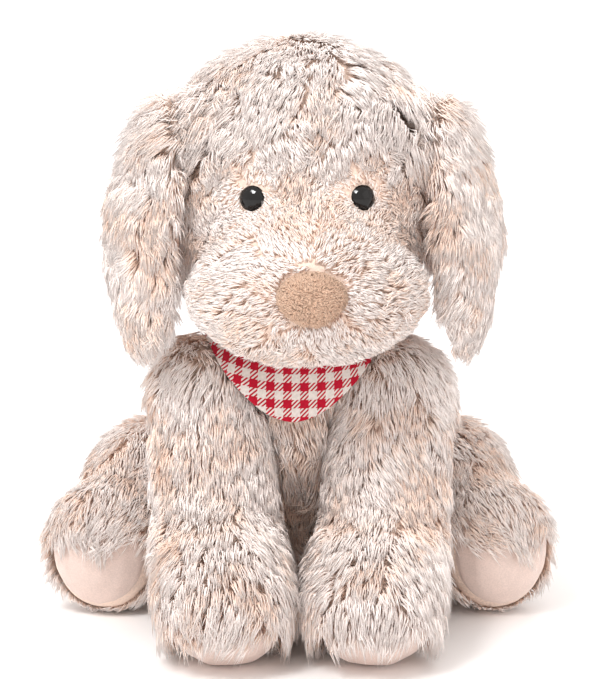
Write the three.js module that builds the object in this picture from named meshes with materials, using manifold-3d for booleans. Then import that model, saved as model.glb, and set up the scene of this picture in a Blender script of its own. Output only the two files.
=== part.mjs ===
// Seated plush puppy with floppy ears and a neckerchief.
// Millimetres, +Z up, the puppy faces -Y, its own left side is +X.
// Each limb is a stuffed bag of fur cloth, sewn to the body where its shell stands open.

import * as THREE from 'three';
import { mergeVertices } from 'three/addons/utils/BufferGeometryUtils.js';
import Module from 'manifold-3d';

const wasm = await Module();
wasm.setup();

// ---------------------------------------------------------------- driving dimensions

const FUR = 7; // fur cloth with its pile lying down
const STUFFING_GAP = 0.4; // between cloth and stuffing
const SEAM_GAP = 0.4; // between two cloth pieces sewn edge to edge
const SWING_GAP = 2.0; // round a limb that moves in its seam
const BODY_BLEND = 14;
const HEAD_BLEND = 16;
const MUZZLE_BLEND = 14;
const LEG_BLEND = 9;
const HAUNCH_BLEND = 12;

// An ellipsoid is placed by its middle; size holds its three half lengths.
const RUMP = { at: [0, 24, 45], size: [60, 56, 52] };
const CHEST = { at: [0, -6, 92], size: [50, 47, 45] };

const LEG_RADIUS = 26;
const LEG_SWING = 20; // degrees forward
const SHOULDER = [CHEST.size[0] - 12, CHEST.at[1] - 22, CHEST.at[2] + 6];
const ANKLE = [SHOULDER[0] - 4, SHOULDER[1] - 25, 44];
const PAW_SIZE = [28, 29, 28];
const PAWS_APART = 3;
const PAW = { at: [PAW_SIZE[0] + PAWS_APART / 2, ANKLE[1] - 23, PAW_SIZE[2] - 2], size: PAW_SIZE };
const PAW_SOLE = { halfWidth: 19, halfLength: 22, tilt: THREE.MathUtils.degToRad(52) };
const SOLE_THICKNESS = 3;

const THIGH = { at: [RUMP.size[0] + 6, SHOULDER[1] + LEG_RADIUS + 26, 38], size: [30, 40, 38] };
const HIND_FOOT = { at: [THIGH.at[0] + 16, THIGH.at[1] - 34, 29], size: [25, 22, 31] };
const HIP = [THIGH.at[0] - 22, THIGH.at[1] + 30, THIGH.at[2] + 2];
const HIND_SWING = 20; // degrees outward
const HIND_SOLE = { halfWidth: 20, halfLength: 23, splay: THREE.MathUtils.degToRad(14) };

const TAIL_RADIUS = 11;
const TAIL_ROOT = [0, RUMP.at[1] + RUMP.size[1] - 6, 30];
const TAIL_TIP = [0, TAIL_ROOT[1] + 11, TAIL_ROOT[2] + 12];
const TAIL_WAG = 20; // degrees each way

const PELLET_BAG_SIZE = [24, 30, 12];
const PELLET_BAG_LIFT = 5; // stuffing under the bag
const PELLET_BAG = {
  at: [0, RUMP.at[1] + 2, FUR + PELLET_BAG_LIFT + PELLET_BAG_SIZE[2]],
  size: PELLET_BAG_SIZE,
};

// The head turns and nods about the neck point, just above the shoulders.
const NECK = [0, CHEST.at[1] + 2, SHOULDER[2] + LEG_RADIUS + 6];
const NECK_RADIUS = 39;
const NECK_CORE_RADIUS = 20;
const HEAD_TURN_AT_REST = THREE.MathUtils.degToRad(2.5);

const SKULL_SIZE = [61, 56, 58];
const SKULL = { at: [0, NECK[1] - 14, NECK[2] + SKULL_SIZE[2] - 1], size: SKULL_SIZE };
const CHEEK = { at: [28, SKULL.at[1] - 20, SKULL.at[2] - 24], size: [28, 26, 28] };
const MUZZLE = { at: [0, SKULL.at[1] - SKULL_SIZE[1], SKULL.at[2] - 37], size: [49, 33, 28] };
const BRIDGE = { at: [0, MUZZLE.at[1] + 12, MUZZLE.at[2] + 20], size: [20, 24, 20] };
const NOSE_SIZE = [16, 5.5, 12.5];
const NOSE_HEIGHT = MUZZLE.at[2] + 3.5;

const EYE_RADIUS = 6;
const EYE_DOME = 4.5;
const EYE_SPACING = 43;
const EYE_TOE_OUT = THREE.MathUtils.degToRad(18);
const EYE_SEAT_DEPTH = 2; // how far the dome's rim sits down in the pile
const SHANK_RADIUS = 2;
const SHANK_LENGTH = 16;
const SHANK_CLEARANCE = 0.3;
const WASHER_RADIUS = 7;
const WASHER_THICKNESS = 1.6;

const EAR_TOP = SKULL.at[2] + 36;
const EAR_LENGTH = 103;
const EAR_WIDTH = 58;
const EAR_FUR = 11; // thickest point of the furry side
const EAR_BACKING = 1.5; // the furry side's own cloth, behind its widest outline
const EAR_LINING = 2.4;
const EAR_LINING_MARGIN = 4; // the lining's outline is this much smaller
const EAR_STANDOFF = 4; // how far the ear bellies out from the head
const EAR_GAP = 1.2; // between the lining and the head
const EAR_SEAM_GAP = 1.0; // between the ear's two cloths, which meet at the edge seam
const EAR_FACING = THREE.MathUtils.degToRad(22); // turned this far from sideways to the front

const BAND_HALF_HEIGHT = 2;
const BAND_HALF_THICKNESS = 2;
const BAND_GAP = 0.5;
const BAND_HEIGHT = SHOULDER[2] + LEG_RADIUS + BAND_HALF_HEIGHT + 1;
const FLAP_TOP = BAND_HEIGHT - BAND_HALF_HEIGHT - 4;
const FLAP_LENGTH = 27;
const FLAP_TOP_HALF_WIDTH = 36;
const FLAP_TIP_HALF_WIDTH = 7;
const FLAP_THICKNESS = 1.4;
const FLAP_GAP = 2.2;
const KNOT_SIZE = [8, 5, 6];

// ---------------------------------------------------------------- soft forms as distance fields

function ellipsoid({ at, size }) {
  return (p) => {
    const q = [0, 1, 2].map((i) => (p[i] - at[i]) / size[i]);
    const reach = Math.hypot(...q);
    const slope = Math.hypot(q[0] / size[0], q[1] / size[1], q[2] / size[2]);
    return slope === 0 ? -Math.min(...size) : (reach * (reach - 1)) / slope;
  };
}

function roundBar(a, b, radius) {
  const along = b.map((v, i) => v - a[i]);
  const lengthSquared = along.reduce((sum, v) => sum + v * v, 0);
  return (p) => {
    const dot = along.reduce((sum, v, i) => sum + v * (p[i] - a[i]), 0);
    const t = Math.min(1, Math.max(0, dot / lengthSquared));
    return Math.hypot(...p.map((v, i) => v - a[i] - along[i] * t)) - radius;
  };
}

function blend(k, ...fields) {
  return (p) => fields.map((f) => f(p)).reduce((a, b) => {
    const h = Math.max(k - Math.abs(a - b), 0) / k;
    return Math.min(a, b) - (h * h * k) / 4;
  });
}

// The room a moving form needs: the form at steps through its swing.
function swept(field, pivot, axis, fromDegrees, toDegrees, steps = 5) {
  const hinge = new THREE.Vector3(...pivot);
  const turns = Array.from({ length: steps + 1 }, (_, i) => {
    const degrees = fromDegrees + ((toDegrees - fromDegrees) * i) / steps;
    const back = -THREE.MathUtils.degToRad(degrees);
    return new THREE.Matrix4().makeRotationAxis(new THREE.Vector3(...axis), back);
  });
  return (p) => Math.min(...turns.map((turn) => (
    field(new THREE.Vector3(...p).sub(hinge).applyMatrix4(turn).add(hinge).toArray()))));
}

const either = (...fields) => (p) => Math.min(...fields.map((f) => f(p)));
const standing = (field) => (p) => Math.max(field(p), -p[2]);
const onSide = (point, side) => [point[0] * side, point[1], point[2]];
const formOnSide = (form, side) => ({ at: onSide(form.at, side), size: form.size });

// Moves from a point along a direction to the place where the field reaches a level.
function reachSurface(field, from, direction, level, furthest = 200) {
  let near = 0;
  let far = furthest;
  for (let step = 0; step < 40; step += 1) {
    const middle = (near + far) / 2;
    const p = from.map((v, i) => v + direction[i] * middle);
    if (field(p) < level) near = middle;
    else far = middle;
  }
  return from.map((v, i) => v + direction[i] * near);
}

// ---------------------------------------------------------------- solids

function bare(geometry) {
  geometry.deleteAttribute('normal');
  geometry.deleteAttribute('uv');
  return mergeVertices(geometry, 1e-4);
}

function solid(geometry) {
  const ready = bare(geometry.clone());
  return new wasm.Manifold(new wasm.Mesh({
    numProp: 3,
    vertProperties: new Float32Array(ready.attributes.position.array),
    triVerts: new Uint32Array(ready.index.array),
  }));
}

const join = (...solids) => solids.reduce((a, b) => a.add(b));
const cut = (from, ...tools) => tools.reduce((a, b) => a.subtract(b), from);

// A capsule round a spine, its skin moved out or in to the field's level.
function inflate(field, from, to, level, [round, caps, along]) {
  const start = new THREE.Vector3(...from);
  const end = new THREE.Vector3(...to);
  const length = start.distanceTo(end);
  const shape = bare(new THREE.CapsuleGeometry(1, length, caps, round, along));
  const turn = new THREE.Quaternion();
  if (length > 0) {
    turn.setFromUnitVectors(new THREE.Vector3(0, 1, 0), end.clone().sub(start).normalize());
  }
  const middle = start.clone().add(end).multiplyScalar(0.5);
  const position = shape.attributes.position;
  for (let i = 0; i < position.count; i += 1) {
    const skin = new THREE.Vector3().fromBufferAttribute(position, i);
    const spine = new THREE.Vector3(0, THREE.MathUtils.clamp(skin.y, -length / 2, length / 2), 0);
    const outward = skin.sub(spine).normalize().applyQuaternion(turn);
    spine.applyQuaternion(turn).add(middle);
    position.setXYZ(i, ...reachSurface(field, spine.toArray(), outward.toArray(), level));
  }
  return shape;
}


const sphere = (at, radius, segments) => new THREE.SphereGeometry(radius, ...segments).translate(...at);

// A round bar that starts at a point and runs along a direction.
function bar(start, direction, radius, length, sides = 12) {
  const shape = new THREE.CylinderGeometry(radius, radius, length, sides);
  shape.translate(0, length / 2, 0);
  const turn = new THREE.Quaternion();
  turn.setFromUnitVectors(new THREE.Vector3(0, 1, 0), direction.clone().normalize());
  shape.applyQuaternion(turn);
  return shape.translate(...start);
}

// ---------------------------------------------------------------- materials

const cloth = (color) => new THREE.MeshStandardMaterial({ color, roughness: 0.95, metalness: 0 });
const FUR_CLOTH = cloth(0xe9dacf);
const VELOUR_TAN = cloth(0xd2ad95);
const VELOUR_PALE = cloth(0xdfc7ba);
const FILLING = cloth(0xf4f4f2);
const PELLET_CLOTH = cloth(0xd8d8d4);
const GINGHAM = cloth(0xc8505c);
const EYE_PLASTIC = new THREE.MeshStandardMaterial({ color: 0x080808, roughness: 0.1, metalness: 0 });
const WASHER_PLASTIC = new THREE.MeshStandardMaterial({ color: 0xe6e6e6, roughness: 0.5, metalness: 0 });

function piece(name, body, material) {
  const { vertProperties, triVerts } = body.getMesh();
  const geometry = new THREE.BufferGeometry();
  geometry.setAttribute('position', new THREE.BufferAttribute(new Float32Array(vertProperties), 3));
  geometry.setIndex(new THREE.BufferAttribute(new Uint32Array(triVerts), 1));
  geometry.computeVertexNormals();
  const mesh = new THREE.Mesh(geometry, material.clone());
  mesh.name = name;
  return mesh;
}

// ---------------------------------------------------------------- the forms of the body parts

const trunkField = standing(blend(BODY_BLEND, ellipsoid(RUMP), ellipsoid(CHEST)));
const torsoField = either(trunkField, roundBar(NECK, [NECK[0], NECK[1], NECK[2] + 0.01], NECK_RADIUS));

const headField = blend(
  HEAD_BLEND,
  ellipsoid(SKULL),
  ellipsoid(formOnSide(CHEEK, 1)),
  ellipsoid(formOnSide(CHEEK, -1)),
);
const muzzleField = blend(MUZZLE_BLEND, ellipsoid(MUZZLE), ellipsoid(BRIDGE));

const frontLegField = (side) => standing(blend(
  LEG_BLEND,
  roundBar(onSide(SHOULDER, side), onSide(ANKLE, side), LEG_RADIUS),
  ellipsoid(formOnSide(PAW, side)),
));
const hindLegField = (side) => standing(blend(
  HAUNCH_BLEND,
  ellipsoid(formOnSide(THIGH, side)),
  ellipsoid(formOnSide(HIND_FOOT, side)),
));
const tailField = roundBar(TAIL_ROOT, TAIL_TIP, TAIL_RADIUS);

// Segments round, in each rounded end and along, of each form's mesh.
const TRUNK_DETAIL = [20, 5, 3];
const HEAD_DETAIL = [20, 6, 1];
const MUZZLE_DETAIL = [16, 5, 1];
const LEG_DETAIL = [14, 4, 3];
const TAIL_DETAIL = [10, 3, 1];
const EAR_DETAIL = [14, 10];
const BAG_DETAIL = [12, 3, 1];
const BALL_DETAIL = [16, 10];
const coarser = ([round, caps, along]) => [round - 4, Math.max(3, caps - 2), Math.max(1, along - 1)];

const trunkForm = (level, detail) => (
  inflate(trunkField, [0, RUMP.at[1] - 4, 40], [0, CHEST.at[1] - 2, CHEST.at[2] + 8], level, detail));
const HEAD_SPINE = [[0, SKULL.at[1] - 4, SKULL.at[2] - 11], [0, SKULL.at[1] - 4, SKULL.at[2] + 3]];
const headForm = (level, detail) => inflate(headField, ...HEAD_SPINE, level, detail);
const MUZZLE_SPINE = [-14, 14].map((x) => [x, MUZZLE.at[1] + 2, MUZZLE.at[2] + 2]);
const muzzleForm = (level, detail) => inflate(muzzleField, ...MUZZLE_SPINE, level, detail);
const frontLegForm = (side, level, detail) => (
  inflate(frontLegField(side), onSide(SHOULDER, side), onSide(PAW.at, side), level, detail));
const hindLegForm = (side, level, detail) => (
  inflate(hindLegField(side), onSide(THIGH.at, side), onSide(HIND_FOOT.at, side), level, detail));
const tailForm = (level, detail) => inflate(tailField, TAIL_ROOT, TAIL_TIP, level, detail);

// ---------------------------------------------------------------- trunk

const SIDES = { left: 1, right: -1 };
const sideNames = Object.keys(SIDES);

const frontLegSweep = (side) => (
  swept(frontLegField(side), onSide(SHOULDER, side), [1, 0, 0], 0, -LEG_SWING));
const hindLegSweep = (side) => (
  swept(hindLegField(side), onSide(HIP, side), [0, 0, 1], 0, side * HIND_SWING));
const tailSweep = swept(tailField, TAIL_ROOT, [0, 0, 1], -TAIL_WAG, TAIL_WAG);

function roomForLimbs(gap) {
  const rooms = [inflate(tailSweep, TAIL_ROOT, TAIL_TIP, gap, TAIL_DETAIL)];
  for (const side of Object.values(SIDES)) {
    const shoulder = onSide(SHOULDER, side);
    rooms.push(inflate(frontLegSweep(side), shoulder, onSide(PAW.at, side), gap, LEG_DETAIL));
    const thigh = onSide(THIGH.at, side);
    rooms.push(inflate(hindLegSweep(side), thigh, onSide(HIND_FOOT.at, side), gap, LEG_DETAIL));
  }
  return rooms.map(solid);
}

function buildTorso() {
  const limbRooms = roomForLimbs(SWING_GAP);
  const outside = join(solid(trunkForm(0, TRUNK_DETAIL)), solid(sphere(NECK, NECK_RADIUS, BALL_DETAIL)));
  const hollow = join(
    solid(trunkForm(-FUR, coarser(TRUNK_DETAIL))),
    solid(sphere(NECK, NECK_RADIUS - FUR, BALL_DETAIL)),
  );
  const neckHole = solid(bar(NECK, new THREE.Vector3(0, 0, 1), NECK_RADIUS * 0.4, NECK_RADIUS * 1.5));
  const shell = cut(outside, hollow, neckHole, ...limbRooms);

  const filled = solid(trunkForm(-FUR - STUFFING_GAP, coarser(TRUNK_DETAIL)));
  const neckRoom = solid(sphere(NECK, NECK_CORE_RADIUS + SWING_GAP, BALL_DETAIL));
  const bagField = ellipsoid(PELLET_BAG);
  const bagSpine = [[0, -14, 0], [0, 14, 0]].map((o) => PELLET_BAG.at.map((v, i) => v + o[i]));
  const bag = inflate(bagField, ...bagSpine, 0, BAG_DETAIL);
  const bagRoom = inflate(bagField, ...bagSpine, STUFFING_GAP, BAG_DETAIL);
  const bagSlit = bar(PELLET_BAG.at, new THREE.Vector3(0, 1, 0), 3, RUMP.size[1] * 2, 8);
  const stuffing = cut(filled, neckRoom, solid(bagRoom), solid(bagSlit), ...limbRooms);
  return [
    piece('torso_shell', shell, FUR_CLOTH),
    piece('torso_stuffing', stuffing, FILLING),
    piece('pellet_bag', solid(bag), PELLET_CLOTH),
    piece('neck_stuffing', solid(sphere(NECK, NECK_CORE_RADIUS, BALL_DETAIL)), FILLING),
  ];
}

// ---------------------------------------------------------------- limbs

function soleDirection(tilt, splay) {
  const level = Math.cos(tilt);
  return new THREE.Vector3(Math.sin(splay) * level, -Math.cos(splay) * level, -Math.sin(tilt));
}

// The oval punch that divides a sole panel from the fur round it.
function solePunch(centre, direction, { halfWidth, halfLength }, gap) {
  const shape = new THREE.CylinderGeometry(1, 1, 120, 18);
  shape.scale(halfWidth + gap, 1, halfLength + gap);
  shape.translate(0, 60, 0);
  const basis = new THREE.Matrix4();
  const normal = direction.clone().normalize();
  const across = new THREE.Vector3(0, 0, 1).cross(normal).normalize();
  const upward = across.clone().cross(normal);
  basis.makeBasis(across, normal, upward);
  shape.applyMatrix4(basis);
  return solid(shape.translate(...centre));
}

function buildLimb({ shellName, fillName, soleName, form, centre, direction, sole, torsoRoom }) {
  const outside = solid(form(0, LEG_DETAIL));
  const hollow = solid(form(-FUR, coarser(LEG_DETAIL)));
  const underSole = solid(form(-SOLE_THICKNESS, LEG_DETAIL));
  const shell = cut(outside, hollow, torsoRoom, solePunch(centre, direction, sole, SEAM_GAP));
  const panel = cut(outside.intersect(solePunch(centre, direction, sole, 0)), underSole);
  const filled = solid(form(-FUR - STUFFING_GAP, coarser(LEG_DETAIL)));
  return [
    piece(shellName, shell, FUR_CLOTH),
    piece(fillName, filled, FILLING),
    piece(soleName, panel, VELOUR_PALE),
  ];
}

// The seam opening where a limb's shell is sewn on to the trunk.
function seamOpening(at, towards, radius) {
  const direction = new THREE.Vector3(...towards).sub(new THREE.Vector3(...at));
  return solid(bar(at, direction, radius, direction.length() * 3));
}

function buildFrontLeg(name) {
  const side = SIDES[name];
  return buildLimb({
    shellName: `front_leg_shell_${name}`,
    fillName: `front_leg_stuffing_${name}`,
    soleName: `front_paw_sole_${name}`,
    form: (level, detail) => frontLegForm(side, level, detail),
    centre: onSide(PAW.at, side),
    direction: soleDirection(PAW_SOLE.tilt, 0),
    sole: PAW_SOLE,
    torsoRoom: seamOpening(onSide(SHOULDER, side), [0, SHOULDER[1] + 10, SHOULDER[2]], LEG_RADIUS * 0.5),
  });
}

function buildHindLeg(name) {
  const side = SIDES[name];
  return buildLimb({
    shellName: `hind_leg_shell_${name}`,
    fillName: `hind_leg_stuffing_${name}`,
    soleName: `hind_paw_sole_${name}`,
    form: (level, detail) => hindLegForm(side, level, detail),
    centre: onSide(HIND_FOOT.at, side),
    direction: soleDirection(0, side * HIND_SOLE.splay),
    sole: HIND_SOLE,
    torsoRoom: seamOpening(onSide(THIGH.at, side), RUMP.at, THIGH.size[0] * 0.5),
  });
}

function buildTail() {
  const opening = seamOpening(TAIL_ROOT, RUMP.at, TAIL_RADIUS * 0.35);
  const shell = cut(solid(tailForm(0, TAIL_DETAIL)), solid(tailForm(-FUR, TAIL_DETAIL)), opening);
  const filled = solid(tailForm(-FUR - STUFFING_GAP, TAIL_DETAIL));
  return [
    piece('tail_shell', shell, FUR_CLOTH),
    piece('tail_stuffing', filled, FILLING),
  ];
}

// ---------------------------------------------------------------- head

function eyePlace(side) {
  const direction = new THREE.Vector3(side * Math.sin(EYE_TOE_OUT), -Math.cos(EYE_TOE_OUT), 0);
  const level = [side * (EYE_SPACING / 2), SKULL.at[1], SKULL.at[2]];
  const surface = reachSurface(headField, level, [0, -1, 0], 0);
  const seat = new THREE.Vector3(...surface).addScaledVector(direction, -EYE_SEAT_DEPTH);
  return { seat, direction, inward: direction.clone().negate() };
}

// Turned profile about +Y: dome above, shank below.
function eyeShape({ seat, direction }) {
  const profile = [new THREE.Vector2(0, -SHANK_LENGTH), new THREE.Vector2(SHANK_RADIUS, -SHANK_LENGTH)];
  profile.push(new THREE.Vector2(SHANK_RADIUS, 0));
  const arc = new THREE.EllipseCurve(0, 0, EYE_RADIUS, EYE_DOME, 0, Math.PI / 2).getPoints(4);
  profile.push(...arc.slice(0, -1), new THREE.Vector2(0, EYE_DOME));
  const shape = new THREE.LatheGeometry(profile, 14);
  const turn = new THREE.Quaternion().setFromUnitVectors(new THREE.Vector3(0, 1, 0), direction);
  shape.applyQuaternion(turn);
  return shape.translate(...seat.toArray());
}

function washerStart({ seat, inward }) {
  return seat.clone().addScaledVector(inward, FUR - EYE_SEAT_DEPTH + STUFFING_GAP + 2.2);
}

function washerShape(place) {
  const start = washerStart(place).toArray();
  const disc = solid(bar(start, place.inward, WASHER_RADIUS, WASHER_THICKNESS, 14));
  const bore = SHANK_RADIUS + SHANK_CLEARANCE;
  const hole = solid(bar(place.seat.toArray(), place.inward, bore, SHANK_LENGTH * 2));
  return cut(disc, hole);
}

function eyeRoomInCloth({ seat, direction, inward }) {
  const cup = bar(seat.toArray(), direction, EYE_RADIUS + SHANK_CLEARANCE, EYE_DOME * 3, 14);
  const floor = seat.clone().addScaledVector(inward, SHANK_CLEARANCE).toArray();
  const cupFloor = bar(floor, direction, EYE_RADIUS + SHANK_CLEARANCE, EYE_DOME * 2, 14);
  const hole = bar(seat.toArray(), inward, SHANK_RADIUS + SHANK_CLEARANCE, SHANK_LENGTH * 2, 12);
  return join(solid(cup), solid(cupFloor), solid(hole));
}

function eyeRoomInStuffing(place) {
  const start = washerStart(place).addScaledVector(place.inward, -4).toArray();
  const disc = bar(start, place.inward, WASHER_RADIUS + STUFFING_GAP, WASHER_THICKNESS + 8, 14);
  const hole = bar(place.seat.toArray(), place.inward, SHANK_RADIUS + 1, SHANK_LENGTH + 2, 12);
  return join(solid(disc), solid(hole));
}

function noseForm(gap) {
  const front = reachSurface(muzzleField, [0, MUZZLE.at[1], NOSE_HEIGHT], [0, -1, 0], -1);
  const shape = new THREE.SphereGeometry(1, 16, 8);
  shape.scale(...NOSE_SIZE.map((v) => v + gap));
  return solid(shape.translate(...front));
}

function buildHead() {
  const places = Object.values(SIDES).map(eyePlace);
  const socket = solid(sphere(NECK, NECK_RADIUS + SWING_GAP, BALL_DETAIL));
  const muzzleOutside = solid(muzzleForm(0, MUZZLE_DETAIL));
  const muzzleHollow = solid(muzzleForm(-FUR, coarser(MUZZLE_DETAIL)));
  const headOutside = solid(headForm(0, HEAD_DETAIL));
  const headHollow = solid(headForm(-FUR, coarser(HEAD_DETAIL)));
  const headMargin = solid(headForm(SEAM_GAP, HEAD_DETAIL));
  const shell = cut(headOutside, headHollow, socket, muzzleHollow, ...places.map(eyeRoomInCloth));
  const muzzleTools = [muzzleHollow, headMargin, socket, noseForm(SEAM_GAP), ...places.map(eyeRoomInCloth)];
  const muzzle = cut(muzzleOutside, ...muzzleTools);

  const headFilled = solid(headForm(-FUR - STUFFING_GAP, coarser(HEAD_DETAIL)));
  const muzzleFilled = solid(muzzleForm(-FUR - STUFFING_GAP, coarser(MUZZLE_DETAIL)));
  const socketMargin = solid(sphere(NECK, NECK_RADIUS + SWING_GAP + STUFFING_GAP, BALL_DETAIL));
  const stuffing = cut(headFilled, socketMargin, ...places.map(eyeRoomInStuffing));
  const headFillMargin = solid(headForm(-FUR, coarser(HEAD_DETAIL)));
  const muzzleStuffing = cut(muzzleFilled, headFillMargin, socketMargin);
  const meshes = [
    piece('head_shell', shell, FUR_CLOTH),
    piece('head_stuffing', stuffing, FILLING),
    piece('muzzle_shell', muzzle, FUR_CLOTH),
    piece('muzzle_stuffing', muzzleStuffing, FILLING),
    piece('nose_patch', noseForm(0), VELOUR_TAN),
  ];
  sideNames.forEach((name, i) => {
    meshes.push(piece(`eye_${name}`, solid(eyeShape(places[i])), EYE_PLASTIC));
    meshes.push(piece(`eye_washer_${name}`, washerShape(places[i]), WASHER_PLASTIC));
  });
  return meshes;
}

// How far out from the head's middle the ear hangs at one height: on the head, then straight down.
function earDistance(side, sideways, height, gap) {
  const outward = [side * Math.cos(EAR_FACING), -Math.sin(EAR_FACING), 0];
  const across = [-side * Math.sin(EAR_FACING), -Math.cos(EAR_FACING), 0];
  const from = [0, 1].map((i) => SKULL.at[i] + across[i] * sideways);
  let widest = 0;
  for (let level = EAR_TOP; level >= Math.max(height, CHEEK.at[2]); level -= 6) {
    const skin = reachSurface(headField, [...from, level], outward, gap);
    widest = Math.max(widest, Math.hypot(skin[0] - from[0], skin[1] - from[1]));
  }
  return { from, outward, widest };
}

// A lens that hangs along the head, cut off from the widest outline by a margin.
function earLayer(side, outerThickness, innerThickness, offset, margin) {
  const shape = bare(new THREE.SphereGeometry(1, ...EAR_DETAIL));
  const position = shape.attributes.position;
  for (let i = 0; i < position.count; i += 1) {
    const down = (1 - position.getY(i)) / 2;
    const through = position.getZ(i);
    const drop = margin + down * (EAR_LENGTH - 2 * margin);
    const fullness = 0.75 + 0.25 * Math.sin((Math.PI / 2) * Math.min(1, down * 1.25));
    const sideways = -side * position.getX(i) * (EAR_WIDTH / 2 - margin) * fullness;
    const { from, outward, widest } = earDistance(side, sideways, EAR_TOP - drop, EAR_GAP);
    const layer = through * (through > 0 ? outerThickness : innerThickness);
    const belly = EAR_STANDOFF * Math.sin(Math.PI * (drop / EAR_LENGTH));
    const distance = widest + belly + offset + layer;
    position.setXYZ(i, from[0] + outward[0] * distance, from[1] + outward[1] * distance, EAR_TOP - drop);
  }
  return shape;
}

function buildEar(name) {
  const side = SIDES[name];
  const liningMiddle = EAR_LINING / 2;
  const furMiddle = EAR_LINING + EAR_SEAM_GAP + EAR_BACKING;
  const outer = solid(earLayer(side, EAR_FUR, EAR_BACKING, furMiddle, 0));
  const lining = solid(earLayer(side, liningMiddle, liningMiddle, liningMiddle, EAR_LINING_MARGIN));
  return [
    piece(`ear_shell_${name}`, outer, FUR_CLOTH),
    piece(`ear_lining_${name}`, lining, VELOUR_PALE),
  ];
}

// ---------------------------------------------------------------- neckerchief

const restLegs = either(frontLegField(1), frontLegField(-1));
const neckField = either(torsoField, restLegs);

function buildBand() {
  const count = 24;
  const points = Array.from({ length: count }, (_, i) => {
    const angle = (i / count) * Math.PI * 2;
    const direction = [Math.cos(angle), Math.sin(angle), 0];
    const from = [NECK[0], NECK[1], BAND_HEIGHT];
    const level = BAND_HALF_THICKNESS + BAND_GAP;
    return new THREE.Vector3(...reachSurface(neckField, from, direction, level));
  });
  const route = new THREE.CatmullRomCurve3(points, true);
  const section = new THREE.Shape();
  section.absellipse(0, 0, BAND_HALF_HEIGHT, BAND_HALF_THICKNESS, 0, Math.PI * 2);
  const band = new THREE.ExtrudeGeometry(section, { extrudePath: route, steps: 30, curveSegments: 4 });
  return piece('bandana_band', solid(band), GINGHAM);
}

function buildFlap() {
  const shape = bare(new THREE.BoxGeometry(2, 1, 1, 12, 5, 1));
  const position = shape.attributes.position;
  for (let i = 0; i < position.count; i += 1) {
    const down = 0.5 - position.getY(i);
    const layer = position.getZ(i) + 0.5;
    const straight = THREE.MathUtils.lerp(FLAP_TOP_HALF_WIDTH, FLAP_TIP_HALF_WIDTH, down);
    const x = position.getX(i) * straight;
    const z = FLAP_TOP - FLAP_LENGTH * down;
    const level = FLAP_GAP + layer * FLAP_THICKNESS;
    const [, y] = reachSurface(neckField, [x, NECK[1], z], [0, -1, 0], level);
    position.setXYZ(i, x, y, z);
  }
  return piece('bandana_flap', solid(shape), GINGHAM);
}

function buildKnot() {
  const depth = KNOT_SIZE[1] + BAND_HALF_THICKNESS * 2 + BAND_GAP * 2;
  const at = reachSurface(neckField, [NECK[0], NECK[1], BAND_HEIGHT], [0, 1, 0], depth);
  const shape = new THREE.SphereGeometry(1, 14, 10);
  shape.scale(...KNOT_SIZE);
  return piece('bandana_knot', solid(shape.translate(...at)), GINGHAM);
}

// ---------------------------------------------------------------- assembly

const body = new THREE.Group();
body.add(...buildTorso(), ...buildTail(), buildBand(), buildFlap(), buildKnot());
sideNames.forEach((name) => body.add(...buildFrontLeg(name), ...buildHindLeg(name)));

const head = new THREE.Group();
head.add(...buildHead());
sideNames.forEach((name) => head.add(...buildEar(name)));
head.position.set(...NECK);
head.rotation.z = HEAD_TURN_AT_REST;
head.children.forEach((mesh) => mesh.geometry.translate(...NECK.map((v) => -v)));

// The origin is the middle of the underside of the puppy's box.
const puppy = new THREE.Group();
puppy.add(body, head);
const box = new THREE.Box3().setFromObject(puppy, true);
puppy.position.set(-(box.min.x + box.max.x) / 2, -(box.min.y + box.max.y) / 2, -box.min.z);

export default puppy;
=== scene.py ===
import math

import bpy
import numpy as np
from bpy.props import FloatProperty, FloatVectorProperty, PointerProperty
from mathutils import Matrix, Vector
from mathutils.bvhtree import BVHTree
from mathutils.kdtree import KDTree


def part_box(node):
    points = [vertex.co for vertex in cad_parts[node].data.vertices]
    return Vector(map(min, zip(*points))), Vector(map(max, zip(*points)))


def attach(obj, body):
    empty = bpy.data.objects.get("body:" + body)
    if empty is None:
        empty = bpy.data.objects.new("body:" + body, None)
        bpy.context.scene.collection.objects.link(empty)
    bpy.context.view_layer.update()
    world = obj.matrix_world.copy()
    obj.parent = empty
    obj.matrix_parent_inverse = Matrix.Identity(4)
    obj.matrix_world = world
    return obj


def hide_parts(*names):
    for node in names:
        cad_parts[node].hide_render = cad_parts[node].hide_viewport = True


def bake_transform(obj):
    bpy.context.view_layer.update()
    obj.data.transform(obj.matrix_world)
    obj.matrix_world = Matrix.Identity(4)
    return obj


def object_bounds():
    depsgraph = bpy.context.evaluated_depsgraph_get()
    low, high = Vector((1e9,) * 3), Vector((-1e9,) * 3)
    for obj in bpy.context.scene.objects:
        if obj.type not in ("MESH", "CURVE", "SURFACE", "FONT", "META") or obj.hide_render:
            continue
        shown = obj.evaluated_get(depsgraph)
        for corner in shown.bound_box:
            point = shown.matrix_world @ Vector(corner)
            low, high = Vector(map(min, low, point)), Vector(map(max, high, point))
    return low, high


bl_info = {
    "name": "Plush Puppy",
    "version": (1, 0, 0),
    "blender": (4, 5, 0),
    "location": "View3D > Sidebar > Puppy",
    "description": "Sews, stuffs and furs a seated plush puppy round its frame",
    "category": "Object",
}

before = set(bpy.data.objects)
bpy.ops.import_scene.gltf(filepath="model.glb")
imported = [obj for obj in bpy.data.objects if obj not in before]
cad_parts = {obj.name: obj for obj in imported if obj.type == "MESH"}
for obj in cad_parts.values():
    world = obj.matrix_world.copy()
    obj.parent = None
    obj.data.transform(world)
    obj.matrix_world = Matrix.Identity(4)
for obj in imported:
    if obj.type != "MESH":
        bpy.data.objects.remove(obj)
CAD_LOW, CAD_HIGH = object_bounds()

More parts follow.
